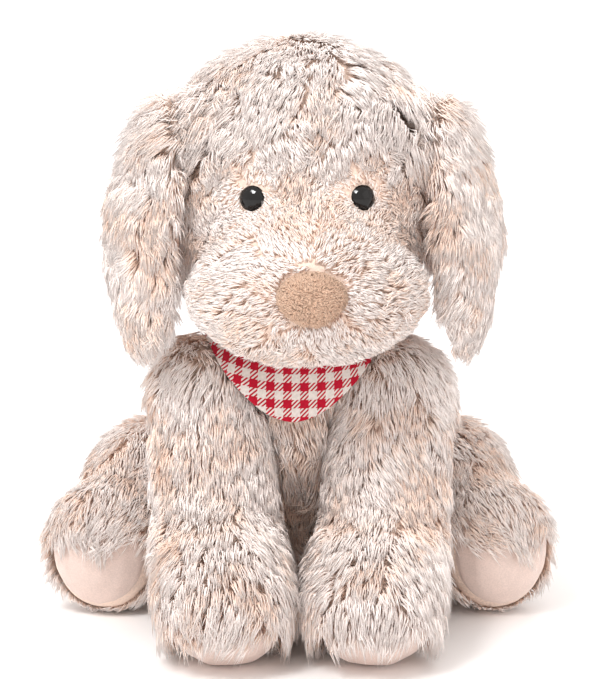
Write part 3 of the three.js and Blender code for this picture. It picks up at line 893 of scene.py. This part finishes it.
def add_bump(tree, shader, height, strength, depth):
    bump = tree.nodes.new("ShaderNodeBump")
    bump.inputs["Strength"].default_value = strength
    bump.inputs["Distance"].default_value = depth
    tree.links.new(height, bump.inputs["Height"])
    tree.links.new(bump.outputs["Normal"], shader.inputs["Normal"])


def named(tree, attribute):
    node = tree.nodes.new("ShaderNodeAttribute")
    node.attribute_name = attribute
    return node.outputs["Fac"]


def pile_finish(name, root, centre, tip, patches):
    if name in FINISHES:
        return FINISHES[name]
    finish, tree, shader = new_finish(
        name, Roughness=0.85, Specular_IOR_Level=0.1, Sheen_Weight=0.15, Sheen_Roughness=0.5
    )
    tint = place_group(
        tree, "Pile Tint", Rise=named(tree, "rise"), Shade=named(tree, "shade"), Patches=patches,
        Root=tuple(root), Middle=tuple(centre), Tip=tuple(tip),
    )
    tree.links.new(tint.outputs["Colour"], shader.inputs["Base Color"])
    return finish


def fur_finish():
    pile = settings("puppy_pile")
    return pile_finish("cream_pile", pile.root_colour, pile.middle_colour, pile.tip_colour, PATCHES)


def shaded(colour, share):
    return (colour[0] * share, colour[1] * share, colour[2] * share, 1)


def velour_finish(name, colour, depth=0.72, fibre=1500.0):
    if name in FINISHES:
        return FINISHES[name]
    finish, tree, shader = new_finish(
        name, Specular_IOR_Level=0.2, Sheen_Weight=0.35, Sheen_Roughness=0.4
    )
    nap = place_group(tree, "Velour Nap", Light=tuple(colour), Dark=shaded(colour, depth), Fibre=fibre)
    tree.links.new(nap.outputs["Colour"], shader.inputs["Base Color"])
    tree.links.new(nap.outputs["Roughness"], shader.inputs["Roughness"])
    add_bump(tree, shader, nap.outputs["Height"], 0.5, 0.4 * MM)
    return finish


def backing_finish():
    return velour_finish("knit_backing", settings("puppy_pile").middle_colour, 0.75, 900.0)


def gingham_finish():
    if "gingham" in FINISHES:
        return FINISHES["gingham"]
    cloth = settings("puppy_kerchief")
    finish, tree, shader = new_finish(
        "gingham", Roughness=0.88, Specular_IOR_Level=0.2, Sheen_Weight=0.1
    )
    check = place_group(
        tree, "Gingham Twill", Vector=tree.nodes.new("ShaderNodeUVMap").outputs["UV"],
        Checks=1 / cloth.check_pitch, Twill=DIAGONAL / cloth.yarn_pitch,
        Dyed=tuple(cloth.red), Plain=tuple(cloth.white),
    )
    tree.links.new(check.outputs["Colour"], shader.inputs["Base Color"])
    add_bump(tree, shader, check.outputs["Height"], 0.35, 0.15 * MM)
    return finish


def speckled_finish(name, light, dark, scale, roughness, bump, **constants):
    """Colour and roughness that vary a little over the surface."""
    finish, tree, shader = new_finish(name, **constants)
    grain = noise(tree, object_place(tree), scale, 3.0)
    tree.links.new(mix_colour(tree, grain, dark, light), shader.inputs["Base Color"])
    tree.links.new(ranged(tree, grain, 0.3, 0.7, *roughness), shader.inputs["Roughness"])
    add_bump(tree, shader, grain, 0.3, bump)
    return finish


# ------ the pieces

SEEDS = {"head": 11, "torso": 23, "front_leg": 37, "hind_leg": 53, "ear": 71, "tail": 97, "nose": 113}
HEAD_STRANDS = 90000
TORSO_STRANDS = 46000
FRONT_LEG_STRANDS = 27500
HIND_LEG_STRANDS = 20000
EAR_STRANDS = 19500
TAIL_STRANDS = 5000
NOSE_STRANDS = 6000
NAP_WIDTH = 0.36 * MM
NAP_MESS = 0.7
PILE_DEPTH_SHARE = 0.17
BAG_SMOOTHING = 6
SOLE_SHOWS = {"front": 0.62, "hind": 0.62}
LINING_RIM = {"left": 5 * MM, "right": 14 * MM}


def inset(bag, coat, clearances):
    """Draws the bag in under its pile, less where something is sewn onto it.
    clearances are (distance of each point, where the pile starts, where it is full)."""
    points, normals = points_of(bag.data), normals_of(bag.data)
    length = coat(points, normals)[1]
    share = np.ones(len(points))
    for far, start, full in clearances:
        share = np.minimum(share, 0.15 + 0.85 * smooth_step(far, start, full))
    set_points(bag.data, points - normals * (length * PILE_DEPTH_SHARE * share)[:, None])


def stuffed(name, body, cloth, stands_for, coat, voxel, clearances, swell):
    """A bag of fur cloth, drawn in under its pile and stuffed."""
    bag = sewn_bag(name, cloth, voxel, BAG_SMOOTHING)
    inset(bag, coat, clearances(points_of(bag.data)))
    press_stuffing(bag, swell)
    round_off(bag)
    bag.data.materials.append(backing_finish())
    settle(bag, body, stands_for)
    return bag


def nothing_sewn_on(points):
    return []


def chance_for(kind, side=None):
    return np.random.default_rng(SEEDS[kind] + SIDES.get(side, 0))


class PUPPY_OT_head(bpy.types.Operator):
    """Stuff the head and the muzzle, and grow their fur"""

    bl_idname = "puppy.head"
    bl_label = "Head"

    def execute(self, context):
        def sewn(points):
            nose = distance(points, NOSE_MIDDLE)
            return [(from_eyes(points), 5 * MM, 16 * MM), (nose, 10 * MM, 22 * MM)]

        nodes = ("head_shell", "head_stuffing", "muzzle_shell", "muzzle_stuffing")
        bag = stuffed("head_bag", "head", nodes, nodes, head_coat, 4 * MM, sewn, 2 * MM)
        points = points_of(bag.data)
        hidden = ((points[:, 2] < BAND_HIGH.z + 10 * MM) & (points[:, 1] > -20 * MM)
                  & (np.hypot(points[:, 0], points[:, 1] - BAND_MIDDLE_Y) < NECK_OPENING)).astype(float)
        strands = comb(Skin(bag, hidden), head_coat, HEAD_STRANDS, chance_for("head"))
        keep = clear_of_eyes_and_nose(strands)
        root = strands[0]
        muzzle = from_muzzle(root) < MUZZLE_SHARE
        top = root[:, 2] > HEIGHT - CROWN_DEPTH
        # Painted light: the muzzle fur is tinted paler where it juts out into the lamps.
        strands[3][muzzle] += MUZZLE_PAINTED_LIGHT
        # Painted light: the crown fur is tinted paler where the lamps above fall on it.
        strands[3][top] += CROWN_PAINTED_LIGHT
        crown = ~muzzle & top
        face = ~muzzle & ~crown & (root[:, 1] < middle("head_shell").y)
        back = ~muzzle & ~crown & ~face
        regions = {"muzzle_pile": muzzle, "crown_pile": crown, "face_pile": face, "nape_pile": back}
        for name, region in regions.items():
            grow(name, "head", strands, keep & region)
        return {"FINISHED"}


class PUPPY_OT_torso(bpy.types.Operator):
    """Stuff the body, and grow its fur"""

    bl_idname = "puppy.torso"
    bl_label = "Body"

    def execute(self, context):
        nodes = ("torso_shell", "torso_stuffing")
        bag = stuffed(
            "body_bag", "torso", nodes, nodes, torso_coat, 5 * MM, nothing_sewn_on, 2 * MM
        )
        points = points_of(bag.data)
        hidden = ((points[:, 2] > NECK_FUR_TOP) | (points[:, 2] < 1 * MM)).astype(float)
        strands = comb(Skin(bag, hidden), torso_coat, TORSO_STRANDS, chance_for("torso"))
        tuck_under_neckerchief(strands)
        front = strands[0][:, 1] < middle("torso_shell").y
        # Painted shade: the chest fur is tinted darker and more tan where it is turned away from the
        # lamps.
        strands[3][front] -= CHEST_PAINTED_SHADE
        for name, region in {"chest_pile": front, "back_pile": ~front}.items():
            grow(name, "torso", strands, region)
        return {"FINISHED"}


def furred_leg(kind, side, coat, count):
    """A stuffed leg whose fur stops at its velour sole."""
    body = f"{kind}_leg_{side}"
    sole = surface_of(f"{kind}_paw_sole_{side}")
    nodes = (f"{kind}_leg_shell_{side}", f"{kind}_leg_stuffing_{side}")

    def sewn(points):
        return [(distance_to(sole, points), 1.5 * MM, 9 * MM)]

    cloth = (*nodes, f"{kind}_paw_sole_{side}")
    bag = stuffed(f"{body}_bag", body, cloth, nodes, coat, 4 * MM, sewn, 2 * MM)
    points = points_of(bag.data)
    low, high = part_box(f"{kind}_paw_sole_{side}")
    fringe = low.z + (high.z - low.z) * SOLE_SHOWS[kind]
    fringe += 1.5 * MM * np.sin(points[:, 0] / (3.1 * MM))
    bare = ((distance_to(sole, points) < BARE_NEAR_SOLE) & (points[:, 2] < fringe)).astype(float)
    strands = comb(Skin(bag, bare), coat, count, chance_for(f"{kind}_leg", side))
    if kind == "front":
        tuck_under_neckerchief(strands)
    grow(f"{body}_pile", body, strands)


class PUPPY_OT_legs(bpy.types.Operator):
    """Stuff the four legs, and grow their fur"""

    bl_idname = "puppy.legs"
    bl_label = "Legs"

    def execute(self, context):
        for side in SIDES:
            furred_leg("front", side, front_leg_coat(side), FRONT_LEG_STRANDS)
            furred_leg("hind", side, hind_leg_coat(side), HIND_LEG_STRANDS)
        return {"FINISHED"}


class PUPPY_OT_soles(bpy.types.Operator):
    """Sew the velour soles onto the four paws"""

    bl_idname = "puppy.soles"
    bl_label = "Paw soles"

    def execute(self, context):
        for kind in ("front", "hind"):
            for side in SIDES:
                node = f"{kind}_paw_sole_{side}"
                sole = sewn_bag(f"{kind}_sole_{side}", (node,), 1.6 * MM, 4)
                press_stuffing(sole, 0.8 * MM)
                round_off(sole)
                points = points_of(sole.data)
                points[:, 2] = np.maximum(points[:, 2], FLOOR_CLEARANCE)
                set_points(sole.data, points)
                sole.data.materials.append(
                    velour_finish("pale_velour", settings("puppy_velour").sole_colour, 0.86)
                )
                settle(sole, f"{kind}_leg_{side}", (node,))
        return {"FINISHED"}


class PUPPY_OT_ears(bpy.types.Operator):
    """Make the two hanging ears: fur outside, velour inside"""

    bl_idname = "puppy.ears"
    bl_label = "Ears"

    def execute(self, context):
        for side in SIDES:
            body = f"ear_{side}"
            inner = surface_of(f"ear_lining_{side}")

            def sewn(points, inner=inner):
                return [(distance_to(inner, points), 2 * MM, 9 * MM)]

            coat = ear_coat(side)
            nodes = (f"ear_shell_{side}",)
            bag = stuffed(f"{body}_bag", body, nodes, nodes, coat, 3 * MM, sewn, 1 * MM)
            points = points_of(bag.data)
            low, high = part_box(f"ear_lining_{side}")
            shows = (points[:, 2] < high.z - 26 * MM) & (points[:, 1] > low.y + LINING_RIM[side])
            bare = (shows & (distance_to(inner, points) < 3 * MM)).astype(float)
            strands = comb(Skin(bag, bare), coat, EAR_STRANDS, chance_for("ear", side))
            grow(f"{body}_pile", body, strands)
            lining = sewn_bag(f"{body}_velour", (f"ear_lining_{side}",), 1.3 * MM, 3)
            smooth(lining)
            lining.data.materials.append(
                velour_finish("lining_velour", settings("puppy_velour").lining_colour, 0.8)
            )
            settle(lining, body, (f"ear_lining_{side}",))
        return {"FINISHED"}


class PUPPY_OT_tail(bpy.types.Operator):
    """Stuff the short tail, and grow its fur"""

    bl_idname = "puppy.tail"
    bl_label = "Tail"

    def execute(self, context):
        nodes = ("tail_shell", "tail_stuffing")
        bag = stuffed(
            "tail_bag", "tail", nodes, nodes, tail_coat, 3 * MM, nothing_sewn_on, 1 * MM
        )
        skin = Skin(bag, np.zeros(len(bag.data.vertices)))
        strands = comb(skin, tail_coat, TAIL_STRANDS, chance_for("tail"))
        grow("tail_pile", "tail", strands)
        return {"FINISHED"}


class PUPPY_OT_nose(bpy.types.Operator):
    """Make the rounded triangular nose with its nap, its rim and its notch"""

    bl_idname = "puppy.nose"
    bl_label = "Nose"

    def execute(self, context):
        deselect_all()
        bpy.ops.mesh.primitive_uv_sphere_add(
            segments=72, ring_count=36, radius=1, rotation=(math.pi / 2, 0, 0)
        )
        nose = bpy.context.view_layer.objects.active
        nose.name = nose.data.name = "nose"
        apply_place(nose)
        ball = points_of(nose.data)
        across, deep, upward = ball[:, 0], ball[:, 1], ball[:, 2]
        flat = np.sign(deep) * np.abs(deep) ** 0.8
        narrow = 1 - 0.26 * np.clip(-upward, 0, 1) ** 1.3
        notch = np.exp(-((across + 0.08) / 0.07) ** 2) * smooth_step(-upward, 0.35, 1.0)
        points = np.empty_like(ball)
        points[:, 0] = NOSE_MIDDLE.x + across * narrow * (NOSE_HALF.x - 3.2 * MM)
        points[:, 2] = NOSE_MIDDLE.z + upward * (NOSE_HALF.z - 2.6 * MM) + notch * 1.6 * MM
        points[:, 1] = NOSE_MIDDLE.y + flat * (NOSE_HALF.y - 0.8 * MM) + notch * 1.2 * MM
        points[:, 1] += 2.2 * MM * (across**2 + 0.6 * upward**2)
        set_points(nose.data, points)
        smooth(nose)
        velour = settings("puppy_velour")
        nose.data.materials.append(velour_finish("nose_backing", shaded(velour.nose_colour, 0.8)))
        settle(nose, "head", ("nose_patch",))

        def nose_coat(points, normals):
            flow = points - np.array(NOSE_MIDDLE) + np.array((0, 0, 1.5 * MM))
            length = np.full(len(points), velour.nose_pile)
            return unit(flow), length, np.full(len(points), math.radians(38))

        bare = (points[:, 1] > NOSE_MIDDLE.y + NOSE_HALF.y * 0.6).astype(float)
        strands = comb(Skin(nose, bare), nose_coat, NOSE_STRANDS, chance_for("nose"), NAP_MESS)
        root = strands[0]
        rim = np.hypot(
            (root[:, 0] - NOSE_MIDDLE.x) / NOSE_HALF.x, (root[:, 2] - NOSE_MIDDLE.z) / NOSE_HALF.z
        )
        strands[3][:] = strands[3] * 0.8 - 6.5 * smooth_step(rim, 0.60, 0.84)
        finish = pile_finish(
            "nose_nap", shaded(velour.nose_colour, 0.55), shaded(velour.nose_colour, 0.85),
            velour.nose_colour, 0.1,
        )
        grow("nose_pile", "head", strands, slot="nose_velour", finish=finish, width=NAP_WIDTH)
        return {"FINISHED"}


class PUPPY_OT_eyes(bpy.types.Operator):
    """Finish the glossy eyes and the washers behind them"""

    bl_idname = "puppy.eyes"
    bl_label = "Eyes"

    def execute(self, context):
        gloss = speckled_finish(
            "eye_black", (0.006, 0.005, 0.005, 1), (0.002, 0.002, 0.002, 1), 260.0, (0.05, 0.12),
            0.01 * MM, Specular_IOR_Level=0.4,
        )
        washer = speckled_finish(
            "washer_plastic", (0.80, 0.79, 0.76, 1), (0.70, 0.69, 0.66, 1), 700.0, (0.35, 0.5),
            0.05 * MM, Specular_IOR_Level=0.5,
        )
        for side in SIDES:
            dome = sewn_bag(f"eye_dome_{side}", (f"eye_{side}",), 0.45 * MM, 6)
            smooth(dome)
            dome.data.materials.append(gloss)
            settle(dome, "head", (f"eye_{side}",))
            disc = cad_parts[f"eye_washer_{side}"]
            disc.data.materials.clear()
            disc.data.materials.append(washer)
        return {"FINISHED"}


class PUPPY_OT_neckerchief(bpy.types.Operator):
    """Hang the checked neckerchief: its point in front, its roll and its knot behind"""

    bl_idname = "puppy.neckerchief"
    bl_label = "Neckerchief"

    def execute(self, context):
        roll = self.roll()
        knot = self.knot()
        sheet = self.point()
        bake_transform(sheet)
        return {"FINISHED"}

    def point(self):
        deselect_all()
        bpy.ops.mesh.primitive_grid_add(x_subdivisions=120, y_subdivisions=48, size=2)
        sheet = bpy.context.view_layer.objects.active
        sheet.name = sheet.data.name = "neckerchief"
        grid = points_of(sheet.data)
        across = grid[:, 0] * KERCHIEF_HALF
        down = (1 - grid[:, 1]) / 2
        hem = np.minimum(hem_height(across), KERCHIEF_TOP - 2.5 * MM)
        upward = KERCHIEF_TOP + (hem - KERCHIEF_TOP) * down
        forward = kerchief_y(across, upward)
        fade = smooth_step(FLAP_HIGH.z - upward, -2 * MM, 16 * MM)
        ripple = sum(high * np.sin(across / wide + start) for high, wide, start in RIPPLES)
        forward += ripple * fade - 0.8 * MM * fade
        set_points(sheet.data, np.stack((across, forward, upward), axis=1))
        steps_out = 1000
        slant = np.arange(-steps_out, steps_out + 1) * KERCHIEF_HALF / steps_out
        bow = kerchief_y(slant, np.full(len(slant), BAND_Z))
        steps = np.hypot(np.diff(slant), np.diff(bow))
        arc = np.concatenate(((0,), np.cumsum(steps)))
        round_neck = np.interp(across, slant, arc - arc[steps_out])
        along = across * fade + round_neck * (1 - fade)
        sag = ROW_SAG * (1 - (across / KERCHIEF_HALF) ** 2)
        lengthwise = (KERCHIEF_TOP - upward) * 1.06 - sag
        self.lay_cloth(sheet, along, lengthwise)
        thicken = sheet.modifiers.new("Cloth", "SOLIDIFY")
        thicken.thickness = settings("puppy_kerchief").cloth_thickness
        thicken.offset = 0
        apply_modifier(sheet, thicken)
        turn_faces_outward(sheet)
        bpy.ops.object.shade_smooth_by_angle(angle=math.radians(50))
        sheet.data.materials.append(gingham_finish())
        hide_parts("bandana_flap")
        return sheet

    @staticmethod
    def lay_cloth(thing, along, lengthwise):
        """Gives each corner its place on the flat cloth, in metres."""
        mesh = thing.data
        layer = mesh.uv_layers.active or mesh.uv_layers.new(name="Cloth")
        corner = np.empty(len(mesh.loops), np.int32)
        mesh.loops.foreach_get("vertex_index", corner)
        flat = np.stack((along[corner], lengthwise[corner]), axis=1)
        layer.data.foreach_set("uv", flat.astype(np.float32).ravel())

    def roll(self):
        """The cloth rolled up round the neck."""
        deselect_all()
        bpy.ops.mesh.primitive_torus_add(
            major_segments=220, minor_segments=20, major_radius=1, minor_radius=0.05,
            generate_uvs=False,
        )
        roll = bpy.context.view_layer.objects.active
        roll.name = roll.data.name = "neckerchief_roll"
        ring = points_of(roll.data)
        turn = np.arctan2(ring[:, 1], ring[:, 0])
        off = np.hypot(ring[:, 0], ring[:, 1]) - 1
        about = np.arctan2(ring[:, 2], off)
        half = (BAND_HIGH.x - BAND_LOW.x) / 2 - 2 * MM
        crease = 1 + 0.16 * np.sin(3 * about + 9 * turn) + 0.10 * np.sin(2 * about - 23 * turn)
        thick = np.cos(about) * 1.8 * MM * crease
        tall = np.sin(about) * 2.7 * MM * crease
        points = np.stack(
            (
                np.cos(turn) * (half + thick),
                BAND_MIDDLE_Y + np.sin(turn) * (half + thick),
                BAND_Z + tall,
            ),
            axis=1,
        )
        set_points(roll.data, points)
        self.lay_cloth(roll, turn * half, about * 2.4 * MM + turn * 4 * MM)
        return self.finished(roll, "torso", "bandana_band")

    def knot(self):
        """The knot at the back with its two ends."""
        centre, half = middle("bandana_knot"), half_size("bandana_knot")
        deselect_all()
        bpy.ops.mesh.primitive_uv_sphere_add(segments=48, ring_count=24, radius=1)
        lump = bpy.context.view_layer.objects.active
        ball = points_of(lump.data)
        turn = np.arctan2(ball[:, 2], ball[:, 0])
        folds = 1 + 0.10 * np.sin(5 * turn + 4 * ball[:, 1]) + 0.06 * np.sin(9 * ball[:, 0] + 2)
        pinch = 1 - 0.25 * np.exp(-(ball[:, 0] / 0.25) ** 2)
        points = ball * np.array(half) * (folds * pinch)[:, None] + np.array(centre)
        set_points(lump.data, points)
        self.lay_cloth(lump, turn * half.x, ball[:, 1] * half.x)
        ends = [lump]
        for way in (1, -1):
            deselect_all()
            bpy.ops.mesh.primitive_grid_add(x_subdivisions=10, y_subdivisions=28, size=2)
            end = bpy.context.view_layer.objects.active
            grid = points_of(end.data)
            down = (1 - grid[:, 1]) / 2
            wide = (3 + 5.5 * down - 7 * np.clip(down - 0.75, 0, 1)) * MM
            points = np.stack(
                (
                    centre.x + way * (3 * MM + down * 11 * MM) + grid[:, 0] * wide,
                    centre.y + 2 * MM + np.sin(down * 3.0) * 4 * MM + grid[:, 0] ** 2 * 1.2 * MM,
                    centre.z - down * 24 * MM + way * grid[:, 0] * 1.5 * MM,
                ),
                axis=1,
            )
            set_points(end.data, points)
            self.lay_cloth(end, grid[:, 0] * wide, down * 26 * MM)
            thicken = end.modifiers.new("Cloth", "SOLIDIFY")
            thicken.thickness = settings("puppy_kerchief").cloth_thickness
            apply_modifier(end, thicken)
            ends.append(end)
        select_only(*ends)
        bpy.ops.object.join()
        knot = bpy.context.view_layer.objects.active
        knot.name = knot.data.name = "neckerchief_knot"
        turn_faces_outward(knot)
        return self.finished(knot, "torso", "bandana_knot")

    @staticmethod
    def finished(thing, body, node):
        smooth(thing)
        thing.data.materials.clear()
        thing.data.materials.append(gingham_finish())
        settle(thing, body, (node,))
        return thing


class PUPPY_OT_filling(bpy.types.Operator):
    """Make the filling that the bags hide: the roll in the neck and the pellets in the rump"""

    bl_idname = "puppy.filling"
    bl_label = "Filling"

    def execute(self, context):
        fibre = speckled_finish(
            "stuffing_fibre", (0.88, 0.88, 0.87, 1), (0.72, 0.72, 0.71, 1), 420.0, (0.85, 0.98),
            1.2 * MM, Sheen_Weight=0.3,
        )
        cotton = speckled_finish(
            "pellet_cloth", (0.78, 0.76, 0.72, 1), (0.66, 0.64, 0.60, 1), 1300.0, (0.8, 0.95),
            0.3 * MM, Sheen_Weight=0.1,
        )
        inside = (
            ("neck_roll", "neck", "neck_stuffing", fibre, "stuffing_fibre"),
            ("pellet_pouch", "torso", "pellet_bag", cotton, "pellet_cloth"),
        )
        for name, body, node, finish, slot in inside:
            filling = sewn_bag(name, (node,), 3 * MM, 3)
            press_stuffing(filling, 0.4 * MM)
            round_off(filling)
            filling.data.materials.append(finish)
            settle(filling, body, (node,))
        return {"FINISHED"}


FUR_BOUNCES = 9  # light goes from strand to strand many times in pale fur
LOOK_X = -1.26 * MM
LOOK_FORWARD = -2.1 * MM
LOOK_HEIGHT = 118 * MM
LAMPS_AIM_HEIGHT = 0.1
FLOOR_RADIUS = 14


def aim(thing, target):
    way = Vector(target) - thing.location
    thing.rotation_euler = way.to_track_quat("-Z", "Y").to_euler()


class PUPPY_OT_stage(bpy.types.Operator):
    """Set the pale floor, the soft lights and the camera"""

    bl_idname = "puppy.stage"
    bl_label = "Stage"

    def execute(self, context):
        stage = settings("puppy_stage")
        scene = context.scene
        deselect_all()
        bpy.ops.mesh.primitive_circle_add(vertices=96, radius=FLOOR_RADIUS, fill_type="NGON")
        floor = context.view_layer.objects.active
        floor.name = floor.data.name = "floor"
        finish, tree, shader = new_finish("floor_paper", Roughness=0.9, Specular_IOR_Level=0.1)
        grain = noise(tree, object_place(tree), 300.0, 2.0)
        colour = tuple(stage.floor_colour)
        tree.links.new(
            mix_colour(tree, grain, shaded(colour, 0.985), colour), shader.inputs["Base Color"]
        )
        floor.data.materials.append(finish)
        look_at = (LOOK_X, (CAD_LOW.y + CAD_HIGH.y) / 2 + LOOK_FORWARD, LOOK_HEIGHT)
        bpy.ops.object.camera_add(
            location=(
                look_at[0],
                look_at[1] - stage.distance * math.cos(stage.elevation),
                look_at[2] + stage.distance * math.sin(stage.elevation),
            )
        )
        camera = context.view_layer.objects.active
        camera.data.lens = stage.lens
        camera.data.sensor_width = 36
        aim(camera, look_at)
        scene.camera = camera
        lamps = (
            ("key", (-0.75, -1.0, 1.7), 0.6, 21),
            ("fill", (1.3, -0.9, 0.7), 1.2, 1.5),
            ("back", (0.2, 1.3, 1.2), 1.1, 6),
            ("catch", (-0.28, -0.85, 1.05), 0.3, 12),
        )
        for name, place, size, power in lamps:
            bpy.ops.object.light_add(type="AREA", location=place)
            lamp = context.view_layer.objects.active
            lamp.name = f"{name}_light"
            lamp.data.size = size
            lamp.data.energy = power
            lamp.visible_diffuse = name != "catch"  # which is only seen mirrored in the eyes
            aim(lamp, (0, 0, LAMPS_AIM_HEIGHT))
        world = bpy.data.worlds.new("studio")
        world.use_nodes = True
        sky = world.node_tree.nodes["Background"]
        sky.inputs["Color"].default_value = (1.0, 0.945, 0.915, 1)
        sky.inputs["Strength"].default_value = 1.15
        scene.world = world
        scene.view_settings.view_transform = "Standard"
        scene.cycles.diffuse_bounces = FUR_BOUNCES
        return {"FINISHED"}


class PUPPY_PT_panel(bpy.types.Panel):
    """The puppy's pieces in the order they are made"""

    bl_label = "Plush Puppy"
    bl_idname = "PUPPY_PT_panel"
    bl_space_type = "VIEW_3D"
    bl_region_type = "UI"
    bl_category = "Puppy"

    def draw(self, context):
        for operator in OPERATORS:
            self.layout.operator(operator.bl_idname)
        for group in GROUPS:
            box = self.layout.box()
            values = getattr(context.scene, group)
            for key in values.bl_rna.properties.keys():
                if key not in ("rna_type", "name"):
                    box.prop(values, key)


OPERATORS = (
    PUPPY_OT_stage,
    PUPPY_OT_torso,
    PUPPY_OT_head,
    PUPPY_OT_legs,
    PUPPY_OT_soles,
    PUPPY_OT_ears,
    PUPPY_OT_tail,
    PUPPY_OT_nose,
    PUPPY_OT_eyes,
    PUPPY_OT_neckerchief,
    PUPPY_OT_filling,
)
GROUPS = {
    "puppy_pile": PileSettings,
    "puppy_velour": VelourSettings,
    "puppy_kerchief": NeckerchiefSettings,
    "puppy_stage": StageSettings,
}


def register():
    for group, settings_class in GROUPS.items():
        bpy.utils.register_class(settings_class)
        setattr(bpy.types.Scene, group, PointerProperty(type=settings_class))
    for operator in OPERATORS:
        bpy.utils.register_class(operator)
    bpy.utils.register_class(PUPPY_PT_panel)


def unregister():
    bpy.utils.unregister_class(PUPPY_PT_panel)
    for operator in reversed(OPERATORS):
        bpy.utils.unregister_class(operator)
    for group, settings_class in GROUPS.items():
        delattr(bpy.types.Scene, group)
        bpy.utils.unregister_class(settings_class)


def main():
    register()
    for operator in OPERATORS:
        family, action = operator.bl_idname.split(".")
        getattr(getattr(bpy.ops, family), action)()


if __name__ == "__main__":
    main()
